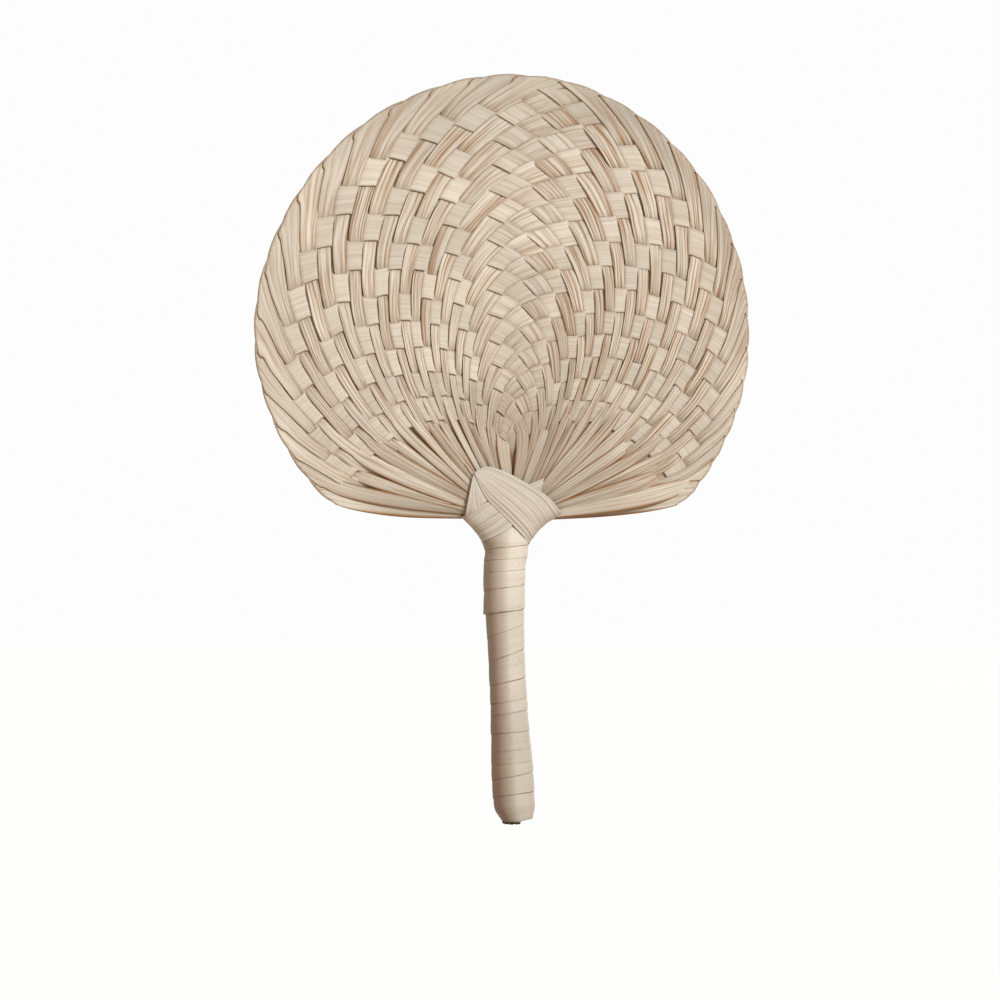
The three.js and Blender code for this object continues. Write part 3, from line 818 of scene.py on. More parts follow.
def leaf_finish(name, dark, light, groove_color, roughness, specks=None):
    """Dry leaf with fibres, veins, brown grooves partly painted shade, and specks if a limit for them is
    given.
    """
    material, tree = empty_material(name)
    brown = (*groove_color, 1)
    grain = attribute(tree, "grain", "Vector")
    spot = add_node(tree, "ShaderNodeTexCoord").outputs["Object"]
    coarse = fibre_noise(tree, grain, COARSE_FIBRE, 3)
    fine = fibre_noise(tree, grain, FINE_FIBRE, 3)
    fibre = math_node(tree, "MULTIPLY", coarse, 1 - FINE_SHARE)
    fibre = math_node(tree, "MULTIPLY_ADD", fine, FINE_SHARE, fibre)
    color = straw_color(tree, fibre, spot, dark, light)
    color = mix_color(tree, "MIX", veins(tree, grain), color, brown)
    # Brown in grooves and lines: partly the leaf's own colour, partly painted shade.
    depth = math_node(tree, "POWER", attribute(tree, "groove"), GROOVE_BEND)
    depth = math_node(tree, "MINIMUM", math_node(tree, "MULTIPLY", depth, GROOVE_GAIN), 1.0)
    color = mix_color(tree, "MIX", depth, color, brown)
    if specks is not None:
        color = mix_color(tree, "MIX", specks_on(tree, spot, specks), color, brown)
    rough = math_node(tree, "MULTIPLY_ADD", coarse, ROUGH_SPREAD, roughness - ROUGH_SPREAD / 2)
    surface(tree, color, rough, LEAF_GLOSS, fine, FIBRE_BUMP, FIBRE_HEIGHT)
    return material


BLADE_LEAF = leaf_finish("blade_leaf", BLADE_DARK, BLADE_LIGHT, BLADE_GROOVE, roughness=0.6)
print("finish", BLADE_LEAF.name)

# %% [markdown]
# ## The blade
# One loop makes all strips. Each gets its own number of ribs, depth and tone from a seeded draw, so
# no two are alike and every run gives the same fan. The leaf is darker near the top, along the upper
# right rim and to the right, so a slow change of tone over the whole blade comes on top of the draw.
# Near the neck and just above it, painted shade makes it browner, for the shade of the loose leaves.

# %% Tone and painted shade of the blade
# Painted shade near the neck and just above it, in the shade of the loose leaves.
NECK_SHADE = 0.8
NECK_REACH = (35, 85)
SIDE_TONE = (1.05, 0.94)
SIDE_REACH = (-110, 90)
TOP_DULL = 0.2
RIM_DULL = 0.22
DULL_TURN = math.radians(2)
DULL_TOP = (0.55, 0.98)
DULL_RIM = (0.86, 0.98)
DULL_RIGHT = (0.2, 0.6)
DULL_UPPER = (-0.2, 0.4)
CENTRE_SHADE = 0.27
CENTRE_WIDTH = 25
CENTRE_REACH = (45, 75)


def neck_distance(points):
    """Distance from the gather point, as seen from the front."""
    return np.hypot(points[..., 0] - GATHER_X, points[..., 2] - GATHER_Z)


def tone_and_neck_shade(points):
    """A tone with painted shade near the neck; darker to the right, at the top and by the upper right rim.
    """
    aside = (points[..., 0] - GATHER_X - CENTRE_X) / BLADE_RADIUS
    up = (points[..., 2] - GATHER_Z - CENTRE_Z) / BLADE_RADIUS
    top = smooth(*DULL_TOP, aside * math.sin(DULL_TURN) + up * math.cos(DULL_TURN))
    rim = smooth(*DULL_RIM, np.hypot(aside, up)) * smooth(*DULL_RIGHT, aside) * smooth(*DULL_UPPER, up)
    tone = mix(NECK_SHADE, 1.0, smooth(*NECK_REACH, neck_distance(points)))
    tone = tone * mix(SIDE_TONE[0], SIDE_TONE[1], smooth(*SIDE_REACH, points[..., 0]))
    return tone * (1 - TOP_DULL * top - RIM_DULL * rim)


def centre_shade(points):
    """Painted shade just above the neck, in the shade of the loose leaves."""
    near = 1 - smooth(*CENTRE_REACH, neck_distance(points))
    return CENTRE_SHADE * np.exp(-((points[..., 0] - GATHER_X) / CENTRE_WIDTH) ** 2) * near


# %% Make the strips
DRAW_SEED = 500
STRIP_TONE = (0.8, 0.96)
RIB_COUNT = (2.2, 4.4)
RIB_DEPTH = 0.45
DEPTH_UNEVEN = (0.7, 1.3)
RIGHT_PLEAT = 1.35
RIGHT_REACH = (-20, 60)
SEED_STEP = 3.7

triangles = 0
for i, node_name in enumerate(STRIP_NODES):
    draw = np.random.default_rng(DRAW_SEED + i)
    points, out, pleat, edge = strip_guide(i)
    # The tone and the brown lines carry painted shade near the neck.
    tone = draw.uniform(*STRIP_TONE) * tone_and_neck_shade(points)
    pleat = pleat * mix(1.0, RIGHT_PLEAT, smooth(*RIGHT_REACH, points[:, COLUMNS // 2, 0]))
    edge = np.maximum(edge, centre_shade(points))
    strip = leaf_grid(f"strip_{i + 1:02d}", points, out, pleat, tone, seed=i, line=edge)
    ribs = draw.uniform(*RIB_COUNT)
    depth = RIB_DEPTH * draw.uniform(*DEPTH_UNEVEN)
    pleat_leaf(strip, BLADE_LEAF, ribs, depth, sharp=0.5, sway=1.8, seed=i * SEED_STEP)
    settle(strip, "blade_leaf", node_name)
    triangles += 2 * len(strip.data.polygons)
print("strips", len(STRIP_NODES), "triangles", triangles)

# %% [markdown]
# ## The form of the neck and handle
# Below the blade all strip ends run together into one bundle. It is flat and wide at the shoulders and
# round in the grip. The outline on each side is a list of a few points, and the depth falls in a
# straight slope. Everything that is wound round the neck is laid on this form.

# %% Outline of the neck and handle
SHOULDER_Z = -0.15 * NECK_HALF_WIDTH
NECK_BASE_Z = -0.79 * NECK_HALF_WIDTH
BAND_TOP_Z = 0.73 * NECK_HALF_WIDTH
BUTT_Z = -HANDLE_LENGTH
NECK_HEIGHTS = [-24.0, -22.0, -19.6, -17.2, -15.0, -12.3, -8.5, -6.9, -4.7, 20.0]
NECK_RIGHT = [8.0, 8.2, 8.6, 9.6, 11.2, 13.3, 17.6, 20.4, 24.9, 80.0]
NECK_LEFT = [-13.6, -13.8, -14.5, -15.6, -17.0, -19.0, -22.8, -24.6, -27.2, -80.0]
NECK_EASE = 6.0
NECK_SHIFT = 0.16 * NECK_HALF_WIDTH
SHIFT_END_Z = 1.2 * NECK_BASE_Z
FOOT_SHIFT = 0.54 * HANDLE_RADIUS
BEND_START = 0.3
BEND_POWER = 1.15
WAIST_DEPTH = 0.145
WAIST_START = 0.17
WAIST_LENGTH = 0.72
SKIN = 1.03
FOOT_TAPER = 0.2
FOOT_START = 0.93
FOOT_TUCK = 2.3
TUCK_START = 0.95


def axis_x(z):
    """Middle of the handle beside the gather point: it leaves the neck to the left and bends back."""
    low = np.clip((z / BUTT_Z - BEND_START) / (1 - BEND_START), 0, 1)
    neck = -NECK_SHIFT * smooth(SHOULDER_Z, SHIFT_END_Z, z)
    return neck + FOOT_SHIFT * low ** BEND_POWER


def handle_radius(z):
    """Half the thickness of the grip, with a waist and a drawn-in foot."""
    t = np.clip(z / BUTT_Z, 0, 1)
    waist = 1 - WAIST_DEPTH * np.sin(np.pi * np.clip((t - WAIST_START) / WAIST_LENGTH, 0, 1)) ** 2
    return SKIN * HANDLE_RADIUS * waist * (1 - FOOT_TAPER * smooth(FOOT_START, 1, t))


def neck_sides(z):
    """Left and right outline at a height."""
    z = np.asarray(z, float)
    share = smooth(NECK_HEIGHTS[0] - NECK_EASE, NECK_HEIGHTS[0], z)
    tuck = FOOT_TUCK * smooth(TUCK_START, 1, z / BUTT_Z)
    left = mix(axis_x(z) - handle_radius(z) + tuck, np.interp(z, NECK_HEIGHTS, NECK_LEFT), share)
    right = mix(axis_x(z) + handle_radius(z), np.interp(z, NECK_HEIGHTS, NECK_RIGHT), share)
    return left, right


# %% Depth and section of the neck and handle
NECK_FLAT = 4.1
DEPTH_SPARE = 0.2
FACETS = 8
FACET_TURN = math.radians(-80)
FACET_SHARE = 0.8
FACET_SCALE = 1.02
CORNER_EASE = np.radians([-9, -5, 0, 5, 9])
SIDE_LIFT = 0.2


def neck_depth(z):
    """Half the depth at a height: a slope down the neck, then the round grip."""
    deep = float(handle_radius(NECK_BASE_Z)) + DEPTH_SPARE
    slope = mix(NECK_FLAT, deep, np.clip((z - BAND_TOP_Z) / (NECK_BASE_Z - BAND_TOP_Z), 0, 1))
    return np.where(z > NECK_BASE_Z, slope, handle_radius(z))


def facets(turn):
    """An eight-sided section with soft corners, as a bundle gets under a tight wrap."""
    half = np.pi / FACETS
    total = 0.0
    for ease in CORNER_EASE:
        away = np.mod(turn + ease - FACET_TURN, 2 * half) - half
        total = total + math.cos(half) / np.cos(away) / len(CORNER_EASE)
    return mix(1.0, total, FACET_SHARE) * FACET_SCALE


def on_form(turn, z, lift):
    """A point on the neck or handle at a turn round it. A turn of -90 degrees is the front."""
    left, right = neck_sides(z)
    shape = facets(turn)
    x = 0.5 * (left + right) + (0.5 * (right - left) * shape + lift) * np.cos(turn)
    y = (neck_depth(z) * shape + lift) * np.sin(turn)
    return np.stack([GATHER_X + x, y, GATHER_Z + z], -1)


def over_form(x, z, lift):
    """A point on the front of the neck, given where it is seen from the front."""
    left, right = neck_sides(z)
    share = np.clip((x - 0.5 * (left + right)) / (0.5 * (right - left)), -1, 1)
    y = -(neck_depth(z) + lift) * np.sqrt(1 - share ** 2)
    return np.stack([GATHER_X + x + SIDE_LIFT * lift * share, y, GATHER_Z + z], -1)


grip = 2 * float(handle_radius(-GATHER_Z))
print("neck", 2 * NECK_HALF_WIDTH, "mm wide, grip", round(grip, 1), "mm thick")

# %% [markdown]
# ## The wound handle
# Two long leaves are wound round the bundle, one after the other, from the neck down. Each turn lies
# over the one below it, like shingles, so its lower edge stands out, and a thin painted shadow line
# runs along it.
# The seams are not even: a hand pulls each turn as the leaf allows. The lists give the height of every
# seam on the right and the left. A turn swells a little between its seams, and the loose end of the
# upper leaf stands off the handle.

# %% Wound leaf
SEAM_RIGHT = [-19.5, -26.0, -32.0, -39.5, -51.5, -58.5, -70.5, -85.5, -96.0, -101.5]
SEAM_RIGHT += [-112.5, -121.0, -127.5, -132.5, -142.5, -160.0]
SEAM_LEFT = [-22.5, -28.0, -34.0, -43.0, -55.0, -67.5, -80.0, -91.0, -100.0, -106.0]
SEAM_LEFT += [-114.5, -124.0, -130.0, -138.0, -146.0, -164.0]
FIRST_SEAM = -15.0
FIRST_WIDTH = 8.0
TURNS = len(SEAM_LEFT)
UPPER_TURNS = 5
WRAP_ROWS = 56
WRAP_COLUMNS = 25
SEAM_EASE = 6
WRAP_OVERLAP = 2.2
WRAP_LIFT = (-0.3, -0.03)
LIFT_BEND = 1.5
STEP_REACH = 1.2
TURN_STEP = 0.12
TURN_SWELL = 0.4
SLACK_SEED = 7
END_CURL = 0.5
CURL_REACH = 0.09
FOOT_RISE = (2.0, 1.4)
FOOT_SINK = 1.2

half_turns = np.stack([np.arange(TURNS) + 0.5, np.arange(TURNS) + 1.0], 1).reshape(-1)
seam_turns = np.concatenate([[0.0], half_turns])
seam_heights = np.concatenate([[FIRST_SEAM], np.stack([SEAM_RIGHT, SEAM_LEFT], 1).reshape(-1)])


def seam(share):
    """Height of the seam after a number of turns."""
    return np.interp(share, seam_turns, seam_heights, left=FIRST_SEAM + FIRST_WIDTH)


def wound_leaf(first, last, step_out):
    """The guide of a wound leaf from one turn to another."""
    rows = int((last - first) * WRAP_ROWS) + 1
    share = np.linspace(first, last, rows)
    window = np.ones(2 * SEAM_EASE + 1) / (2 * SEAM_EASE + 1)
    low = np.convolve(np.pad(seam(share), SEAM_EASE, mode="edge"), window, mode="valid")
    high = np.where(share > 1, seam(share - 1), low + FIRST_WIDTH) + WRAP_OVERLAP
    c = np.linspace(0, 1, WRAP_COLUMNS)[None, :]
    turn = np.pi - 2 * np.pi * share[:, None] + 0 * c
    foot = BUTT_Z + FOOT_RISE[0] + FOOT_RISE[1] * np.maximum(0, np.cos(turn))
    free = mix(high[:, None], low[:, None], c)
    z = np.maximum(free, foot)
    lift = mix(WRAP_LIFT[0], WRAP_LIFT[1], c ** LIFT_BEND)
    lift = lift + step_out * smooth(last - STEP_REACH, last, share)[:, None] * c
    if step_out:
        lift = lift + END_CURL * smooth(last - CURL_REACH, last, share)[:, None] * c ** 2
    pulled = np.random.default_rng(SLACK_SEED).uniform(0, 1, 2 * TURNS + 4)
    slack = np.interp(share * 2, np.arange(len(pulled)), pulled)[:, None]
    lift = lift + slack * (TURN_STEP * c ** 2 + TURN_SWELL * np.sin(np.pi * c))
    lift = lift - FOOT_SINK * np.maximum(0, foot - free)
    points = on_form(turn, z, lift)
    out = np.stack([np.cos(turn), np.sin(turn), 0 * turn], -1)
    return points, out


# %% [markdown]
# The same pleat tree gives the wound leaf a few very shallow ribs. Its finish is lighter and smoother
# than the blade, with small dark specks. Painted shade makes it browner along the left and darker
# towards the foot, and both are written into the attributes that the finish reads.

# %% Tone and painted shade of the wrap
# Painted shade: the tone falls towards the foot.
WRAP_TONE_TO_FOOT_SHADE = (0.93, 0.73)
FOOT_SHADE_FALL = (1.0, 12.0)
LIGHT_TONE = 0.1
LIGHT_TURN = 9.3
LIGHT_WIDTH = 0.4
# A thin painted shadow line under each seam and at the loose end.
SEAM_EDGE = (0.95, 0.99)
SEAM_SHADOW = 0.5
SEAM_UNEVEN = 0.45
SEAM_WAVES = 60
SEAM_LEAST = 0.1
SEAM_SEED = 30
END_SHADOW = (0.04, 0.01)
# Painted shade along the left, away from the lamp, and towards the foot.
LEFT_SHADE = (0.6, 0.69)
LEFT_SHADE_TURNS = (4.0, 12.0)
LEFT_SHADE_SIDE = (-0.4, 0.6)
FOOT_SHADE = 0.12
FOOT_SHADE_TURNS = (2.0, 11.0)


def wrap_tone_and_shade(share):
    """A tone with painted shade that falls towards the foot, and one lighter patch."""
    patch = LIGHT_TONE * np.exp(-((share - LIGHT_TURN) / LIGHT_WIDTH) ** 2)
    return mix(WRAP_TONE_TO_FOOT_SHADE[0], WRAP_TONE_TO_FOOT_SHADE[1], smooth(*FOOT_SHADE_FALL, share)) + patch


def wrap_painted_shade(share, first, last, loose):
    """Painted shade: a shadow line at each seam and a loose end, shade on the left and towards the foot."""
    rng = np.random.default_rng(SEAM_SEED + int(first))
    uneven = SEAM_SHADOW + wander(rng, len(share), SEAM_WAVES, SEAM_UNEVEN)[:, None]
    edge = smooth(*SEAM_EDGE, np.linspace(0, 1, WRAP_COLUMNS))[None, :]
    end = smooth(last - END_SHADOW[0], last - END_SHADOW[1], share) if loose else 0
    line = np.maximum(np.clip(uneven, SEAM_LEAST, 1) * edge, end)
    left_side_shade = mix(LEFT_SHADE[0], LEFT_SHADE[1], smooth(*LEFT_SHADE_TURNS, share))
    left_side_shade = left_side_shade * smooth(*LEFT_SHADE_SIDE, np.cos(2 * np.pi * share))
    return np.maximum(np.maximum(line, left_side_shade), FOOT_SHADE * smooth(*FOOT_SHADE_TURNS, share))


# %% Make the wrap
WRAP_DARK, WRAP_LIGHT = (0.497, 0.452, 0.386), (0.584, 0.557, 0.497)
WRAP_GROOVE = (0.2, 0.11, 0.065)
WRAP_PLEAT = 0.06
WRAP_LEAF = leaf_finish("wrap_leaf", WRAP_DARK, WRAP_LIGHT, WRAP_GROOVE, roughness=0.5, specks=0.91)
WRAPS = [
    ("wrap_upper", "handle_wrap_upper", 0.0, UPPER_TURNS, 0.5),
    ("wrap_lower", "handle_wrap_lower", UPPER_TURNS - 0.1, TURNS + 0.6, 0.0),
]
for name, node_name, first, last, step_out in WRAPS:
    points, out = wound_leaf(first, last, step_out)
    share = np.linspace(first, last, len(points))[:, None]
    pleat = np.full(len(points), WRAP_PLEAT)
    # The line attribute and the tone carry the painted shade of the wrap.
    line = wrap_painted_shade(share, first, last, loose=step_out > 0)
    wrap = leaf_grid(name, points, out, pleat, wrap_tone_and_shade(share), seed=40 + first, line=line)
    pleat_leaf(wrap, WRAP_LEAF, ribs=3.0, depth=0.1, sharp=0.3, sway=0.8, seed=50 + first, thickness=0.3)
    settle(wrap, "wrap_leaf", node_name)
    print(name, len(wrap.data.polygons), "faces")

# %% [markdown]
# ## The crossed bands
# Two wide leaves hold the neck. One comes from the upper left, crosses the front and goes round the right
# shoulder. The other comes from the right under it and goes round the left shoulder. Each edge is a
# smooth curve through a few points, and the surface between two edges is laid on the form of the neck.
# A band goes round the shoulder and up the back in the same way, so the back is its mirror.

# %% Shape of a band
BAND_ROWS = 40
BAND_COLUMNS = 81
ROW_EASE = 1.6
SHOULDER_EASE = (0.55, 1.0)


def curve(spots, t):
    """A smooth curve through a few points."""
    spots = np.asarray(spots, float)
    padded = np.concatenate([[2 * spots[0] - spots[1]], spots, [2 * spots[-1] - spots[-2]]])
    where = np.clip(t, 0, 1) * (len(spots) - 1)
    k = np.minimum(where.astype(int), len(spots) - 2)
    f = (where - k)[:, None]
    p0, p1, p2, p3 = padded[k], padded[k + 1], padded[k + 2], padded[k + 3]
    return 0.5 * (2 * p1 + (p2 - p0) * f + (2 * p0 - 5 * p1 + 4 * p2 - p3) * f ** 2
                  + (3 * p1 - p0 - 3 * p2 + p3) * f ** 3)


def between_edges(upper, lower, t):
    """Points of a leaf between its two edges, as seen from the front."""
    c = np.linspace(0, 1, BAND_COLUMNS)[None, :, None]
    return mix(curve(upper, t)[:, None], curve(lower, t)[:, None], c)


def band_guide(upper, lower, lift, right_end):
    """A band between two edges, from its top end to the shoulder on the front, then up the back."""
    t = 1 - (1 - np.linspace(0, 1, BAND_ROWS)) ** ROW_EASE
    flat = between_edges(upper, lower, t)
    left, right = neck_sides(flat[-1, :, 1])
    goal = right if right_end else left
    shift = (goal - flat[-1, :, 0])[None, :] * smooth(*SHOULDER_EASE, t)[:, None]
    front = over_form(flat[..., 0] + shift, flat[..., 1], lift)
    back = front[::-1] * [1, -1, 1]
    points = np.concatenate([front, back[1:]])
    out = np.cross(np.gradient(points, axis=1), np.gradient(points, axis=0))
    out /= np.maximum(np.linalg.norm(out, axis=2, keepdims=True), 1e-9)
    facing = np.sign(np.sum(out[: BAND_ROWS // 2, :, 1]))
    return points, -out * facing


# %% Make the bands
BAND_DARK, BAND_LIGHT = (0.391, 0.324, 0.249), (0.54, 0.513, 0.461)
BAND_GROOVE = (0.18, 0.1, 0.05)
BAND_LEAF = leaf_finish("band_leaf", BAND_DARK, BAND_LIGHT, BAND_GROOVE, roughness=0.55)
BAND_TONE = 0.86
BAND_PLEAT = 0.5
CREASE_STEP = 0.16
CREASE_EASE = 0.01
CREASE_LINE = 0.008
# A thin dark line at each fold: partly the folded leaf's edge, partly painted shadow of the step.
CREASE_EDGE_AND_SHADOW = 0.8
LEFT_UPPER = [(-18.7, 16.2), (-13, 19.2), (-4.6, 17.2), (5.3, 12.1), (16.9, 4.7), (24.4, -4.6)]
LEFT_LOWER = [(-18.9, 15.8), (-16.0, 9.5), (-12.2, 2.9), (-3.0, -6.4), (5.1, -15.0), (8.5, -19.4)]
RIGHT_UPPER = [(16.0, 13.4), (10, 11), (0, 6.5), (-11.5, 2.0), (-18, -2.4), (-23.2, -6.4)]
RIGHT_LOWER = [(14.2, 5.3), (10, 1), (5, -5), (-1, -11.2), (-7, -15.0), (-14.3, -18.4)]
BANDS = [
    ("band_left", "neck_band_left", LEFT_UPPER, LEFT_LOWER, 1.1, True, (0.1, 0.8, 0.9)),
    ("band_right", "neck_band_right", RIGHT_UPPER, RIGHT_LOWER, 0.55, False, (0.08, 0.45, 0.62)),
]


def fold_lines(c, places):
    """Height and dark lines of a band folded under in thin layers; the lines are partly painted shadow."""
    height, dark = np.zeros_like(c), np.zeros_like(c)
    for spot in places:
        beyond = smooth(spot - CREASE_EASE, spot + CREASE_EASE, c)
        outer = beyond if spot > 0.5 else 1 - beyond
        height -= CREASE_STEP * outer
        dark = np.maximum(dark, np.exp(-((c - spot) / CREASE_LINE) ** 2))
    return height, dark


for name, node_name, upper, lower, lift, right_end, folds in BANDS:
    points, out = band_guide(upper, lower, lift, right_end)
    height, dark = fold_lines(np.linspace(0, 1, BAND_COLUMNS), folds)
    points = points + out * height[None, :, None]
    pleat = np.full(len(points), BAND_PLEAT)
    # The fold lines go into the line attribute, partly leaf edge and partly painted shadow.
    line = CREASE_EDGE_AND_SHADOW * dark[None, :]
    band = leaf_grid(name, points, out, pleat, BAND_TONE, seed=60 + lift, line=line)
    pleat_leaf(band, BAND_LEAF, ribs=7.0, depth=0.12, sharp=0.15, sway=0.6, seed=70 + lift, thickness=0.35)
    settle(band, "band_leaf", node_name)
    print(name, len(band.data.polygons), "faces")

# %% [markdown]
# The small leaf on the left is one of the blade's own, folded down beside the crossed bands.

# %% Side leaf
SIDE_UPPER = [(-18.9, 15.6), (-17.0, 11.0), (-14.6, 6.4), (-11.8, 2.4)]
SIDE_LOWER = [(-19.2, 15.2), (-20.6, 9.0), (-22.0, 2.0), (-23.6, -6.2)]
SIDE_ROWS = 24
SIDE_LEAF_TONE = 0.88
SIDE_PLEAT = 0.7
flat = between_edges(SIDE_UPPER, SIDE_LOWER, np.linspace(0, 1, SIDE_ROWS))
points = over_form(flat[..., 0], flat[..., 1], lift=0.3)
out = np.zeros_like(points)
out[..., 1] = -1
pleat = np.full(SIDE_ROWS, SIDE_PLEAT)
side_leaf = leaf_grid("side_leaf", points, out, pleat, SIDE_LEAF_TONE, seed=80)
pleat_leaf(side_leaf, BAND_LEAF, ribs=4.0, depth=0.15, sharp=0.3, sway=0.4, seed=80.0)
settle(side_leaf, "band_leaf", "neck_side_leaf")
print("side_leaf", len(side_leaf.data.polygons), "faces")

# %% [markdown]
# ## The bundle inside
# The strip ends fill the handle as a bundle of brown fibres. Only its cut end shows. A plain closed body
# stands for the inside, and Geometry Nodes sets a bunch of short fibre ends on its foot.

# %% Finish of the bundle
FIBRE_STRETCH = (900, 900, 60)
FIBRE_RAMP = [(0.35, (0.045, 0.02, 0.01)), (0.7, (0.2, 0.11, 0.06))]


def core_finish():
    """Brown fibres that run down the handle."""
    material, tree = empty_material("core_fibre")
    spot = add_node(tree, "ShaderNodeTexCoord").outputs["Object"]
    streak = add_node(tree, "ShaderNodeMapping", {"Vector": spot, "Scale": FIBRE_STRETCH})
    noise = noise_at(tree, streak.outputs[0], 1.0, 4.0)
    color = ramp_node(tree, noise, FIBRE_RAMP)
    surface(tree, color, 0.8, gloss=0.5, height=noise, strength=0.6, distance=0.4)
    return material


# %% Bundle body
CORE_AROUND = 32
CORE_RINGS = 40
CORE_TOP_Z = SHOULDER_Z - 3.0
CORE_LOW_Z = BUTT_Z + 4.0
CORE_SINK = 1.6
CORE_TAPER = 2.0
TAPER_HEIGHTS = (-150, -156)
FOOT_X = GATHER_X - 0.3
FOOT_Z = GATHER_Z + BUTT_Z + 1.2
FOOT_RADIUS = 4.3


def closed_rings(name, rings, material):
    """A closed body from rings of points, with a flat cap at both ends."""
    count = len(rings[0])
    points = np.concatenate(rings) * MM
    faces = [list(range(count))[::-1]]
    for r in range(len(rings) - 1):
        for k in range(count):
            n = (k + 1) % count
            faces.append([r * count + k, r * count + n, (r + 1) * count + n, (r + 1) * count + k])
    faces.append([(len(rings) - 1) * count + k for k in range(count)])
    mesh = bpy.data.meshes.new(name)
    mesh.from_pydata(points.tolist(), [], faces)
    mesh.materials.append(material)
    return new_object(name, mesh)


CORE_FIBRE = core_finish()
around = np.linspace(0, 2 * np.pi, CORE_AROUND, endpoint=False)
rings = []
for z in np.linspace(CORE_TOP_Z, CORE_LOW_Z, CORE_RINGS):
    sink = CORE_SINK + CORE_TAPER * smooth(*TAPER_HEIGHTS, z)
    rings.append(on_form(around, np.full(CORE_AROUND, z), -sink))
foot = np.stack([FOOT_X + FOOT_RADIUS * np.cos(around), FOOT_RADIUS * np.sin(around)], -1)
rings.append(np.concatenate([foot, np.full((CORE_AROUND, 1), FOOT_Z)], -1))
core = closed_rings("core", rings[::-1], CORE_FIBRE)
print("bundle body with", len(rings), "rings")

# %% [markdown]
# ## Fibre ends
# The tree spreads points over the foot like the seeds of a sunflower: each turns by the golden angle and
# the distance grows with the root of the number, which fills a disc evenly. A short rod with a random
# tilt and length stands on every point, and the rods are joined to the body.

# %% Fibre tree
FIBRES = 60
FIBRE_SIDES = 7
FIBRE_RADIUS = 0.45
FIBRE_LENGTH = 2.2
FIBRE_MIDDLE_Z = FOOT_Z + 0.3
FIBRE_TILT = 0.3
FIBRE_SPIN = 3.0
FIBRE_SMALLEST, FIBRE_LARGEST = (0.7, 0.7, 0.4), (1.3, 1.3, 1.15)
FIBRE_SEED = 5
GOLDEN_ANGLE = math.pi * (3 - math.sqrt(5))


def random_vector(tree, low, high, seed):
    """A random vector between two corners for every fibre."""
    node = add_node(tree, "FunctionNodeRandomValue", {"Min": low, "Max": high}, data_type="FLOAT_VECTOR")
    tree.links.new(seed, node.inputs["Seed"])
    return node.outputs[0]


def fibre_tree():
    """A bunch of short tilted rods on the foot, joined to the body."""
    tree = bpy.data.node_groups.new("cut_fibres", "GeometryNodeTree")
    source, identifiers = tree_inputs(tree, ["Count", "Radius", "Length", "Seed", "Finish"])
    index = tree.nodes.new("GeometryNodeInputIndex").outputs[0]
    share = math_node(tree, "DIVIDE", math_node(tree, "ADD", index, 0.5), source.outputs["Count"])
    reach = math_node(tree, "MULTIPLY", math_node(tree, "SQRT", share), source.outputs["Radius"])
    turn = math_node(tree, "MULTIPLY", index, GOLDEN_ANGLE)
    x = math_node(tree, "MULTIPLY_ADD", math_node(tree, "COSINE", turn), reach, FOOT_X * MM)
    y = math_node(tree, "MULTIPLY", math_node(tree, "SINE", turn), reach)
    spot = add_node(tree, "ShaderNodeCombineXYZ", {0: x, 1: y, 2: FIBRE_MIDDLE_Z * MM}).outputs[0]
    points = add_node(tree, "GeometryNodePoints", {"Count": source.outputs["Count"], "Position": spot})
    rod = add_node(tree, "GeometryNodeMeshCylinder", {"Vertices": FIBRE_SIDES, "Radius": FIBRE_RADIUS * MM})
    tree.links.new(source.outputs["Length"], rod.inputs["Depth"])
    seed = source.outputs["Seed"]
    tilt = random_vector(tree, (-FIBRE_TILT, -FIBRE_TILT, 0), (FIBRE_TILT, FIBRE_TILT, FIBRE_SPIN), seed)
    size = random_vector(tree, FIBRE_SMALLEST, FIBRE_LARGEST, math_node(tree, "ADD", seed, 1.0))
    rods = add_node(tree, "GeometryNodeInstanceOnPoints", {
        "Points": points.outputs[0], "Instance": rod.outputs["Mesh"],
        "Rotation": tilt, "Scale": size})
    real = add_node(tree, "GeometryNodeRealizeInstances", {0: rods.outputs[0]})
    joined = tree.nodes.new("GeometryNodeJoinGeometry")
    tree.links.new(source.outputs["Geometry"], joined.inputs[0])
    tree.links.new(real.outputs[0], joined.inputs[0])
    painted = add_node(tree, "GeometryNodeSetMaterial",
                       {0: joined.outputs[0], "Material": source.outputs["Finish"]})
    add_node(tree, "NodeGroupOutput", {0: painted.outputs[0]})
    return tree, identifiers


fibre_group, fibre_inputs = fibre_tree()
modifier = core.modifiers.new("fibre_ends", "NODES")
modifier.node_group = fibre_group
fibre_values = {"Count": float(FIBRES), "Radius": FOOT_RADIUS * MM, "Length": FIBRE_LENGTH * MM,
                "Seed": float(FIBRE_SEED), "Finish": CORE_FIBRE}
for label, value in fibre_values.items():
    modifier[fibre_inputs[label]] = value
bake(core)
settle(core, "core_fibre", "handle_core")
print("core", len(core.data.polygons), "faces with", FIBRES, "fibre ends")

# %% [markdown]
# ## Floor, light and camera
# The fan is shown upright against white, seen straight on. A faint warm world stands for the light that
# comes back from a room. One large lamp at the upper right draws the relief of the weave, a weak one
# fills from the left, and one behind lights the back. The floor and the world are white for the
# camera and for what a gloss reflects, and dim for the light that falls on the leaf.

# %% Stage
FLOOR_Z = GATHER_Z - HANDLE_LENGTH
FLOOR_HALF = 3000.0
FLOOR_COLOR = (0.62, 0.52, 0.42, 1)
FLOOR_GLOW = 0.97
WHITE = (1, 1, 1, 1)


def background_rays(tree):
    """1 for rays that meet the white background from the camera, by a reflection or through glass."""
    rays = add_node(tree, "ShaderNodeLightPath").outputs
    mirrored = math_node(tree, "MAXIMUM", rays["Is Glossy Ray"], rays["Is Transmission Ray"])
    return math_node(tree, "MAXIMUM", rays["Is Camera Ray"], mirrored)


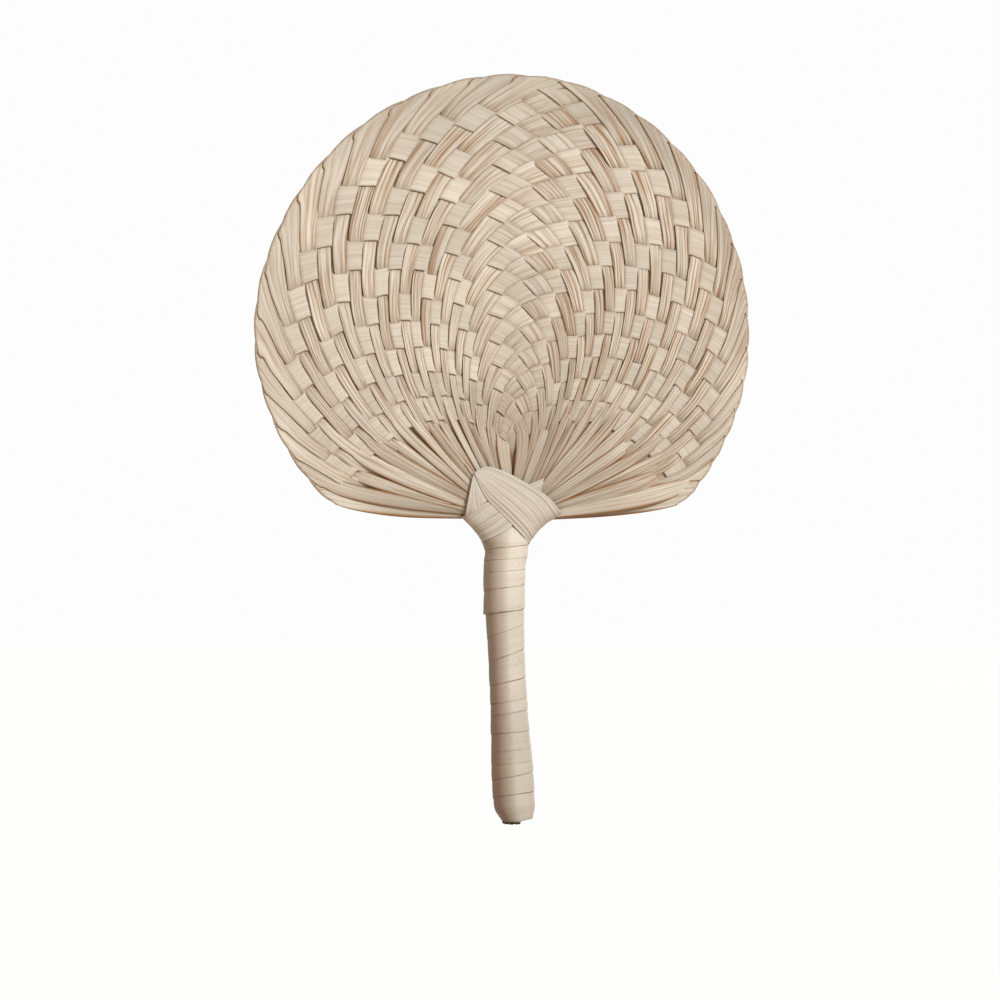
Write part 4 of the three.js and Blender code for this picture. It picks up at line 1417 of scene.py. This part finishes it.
def white_floor(name):
    """A square that is white to the camera and dim paper to the light that falls on it."""
    material, tree = empty_material(name)
    paper = add_node(tree, "ShaderNodeBsdfDiffuse", {"Color": FLOOR_COLOR})
    glow = add_node(tree, "ShaderNodeEmission", {"Color": WHITE, "Strength": 1.0})
    seen = math_node(tree, "MULTIPLY", background_rays(tree), FLOOR_GLOW)
    blend = add_node(tree, "ShaderNodeMixShader", {0: seen, 1: paper.outputs[0], 2: glow.outputs[0]})
    add_node(tree, "ShaderNodeOutputMaterial", {"Surface": blend.outputs[0]})
    corners = np.array([(-1, -1, 0), (1, -1, 0), (1, 1, 0), (-1, 1, 0)]) * FLOOR_HALF + [0, 0, FLOOR_Z]
    mesh = bpy.data.meshes.new(name)
    mesh.from_pydata((corners * MM).tolist(), [], [[0, 1, 2, 3]])
    mesh.materials.append(material)
    piece = new_object(name, mesh)


white_floor("floor")

# %% World
AIR_TINT = (1.0, 0.83, 0.62, 1)
AIR_LIGHT = 0.41
AIR_SEEN = 0.98

world = bpy.data.worlds.new("studio")
bpy.context.scene.world = world
world.use_nodes = True
sky = world.node_tree
sky.nodes.clear()
seen = background_rays(sky)
strength = math_node(sky, "MULTIPLY_ADD", seen, AIR_SEEN - AIR_LIGHT, AIR_LIGHT)
tint = mix_color(sky, "MIX", seen, AIR_TINT, WHITE)
air = add_node(sky, "ShaderNodeBackground", {"Color": tint, "Strength": strength})
add_node(sky, "ShaderNodeOutputWorld", {"Surface": air.outputs[0]})

# %% Lamps
LAMP_SIZE = 900.0
BLADE_MIDDLE = Vector((GATHER_X, 0, GATHER_Z + CENTRE_Z))


def lamp(name, spot, power):
    """A square lamp that looks at the middle of the blade."""
    light = bpy.data.lights.new(name, "AREA")
    light.size = LAMP_SIZE * MM
    light.energy = power
    piece = new_object(name, light)
    piece.location = Vector(spot) * MM
    piece.rotation_euler = (BLADE_MIDDLE - Vector(spot)).to_track_quat("-Z", "Y").to_euler()


lamp("key", (1400, -2350, 1500), power=92)
lamp("fill", (-900, -1300, 300), power=1)
lamp("back", (1200, 2300, 1300), power=50)
print("lamps", len(bpy.data.lights))

# %% [markdown]
# A long lens from far away leaves hardly any perspective in the outline of the blade.

# %% Camera
FRAME_WIDTH = 500.0
CAMERA_DISTANCE = 2400.0
VIEW_X = -3.5
VIEW_Z = GATHER_Z + 2.5
SENSOR = 36.0
FARTHEST = 20000.0

camera = bpy.data.cameras.new("camera")
camera.sensor_width = SENSOR
camera.lens = SENSOR * CAMERA_DISTANCE / FRAME_WIDTH
camera.clip_end = FARTHEST * MM
viewer = new_object("camera", camera)
viewer.location = Vector((VIEW_X, -CAMERA_DISTANCE, VIEW_Z)) * MM
viewer.rotation_euler = (math.radians(90), 0, 0)
bpy.context.scene.camera = viewer
bpy.context.scene.view_settings.view_transform = "Standard"
print("camera", CAMERA_DISTANCE, "mm away sees", FRAME_WIDTH, "mm")
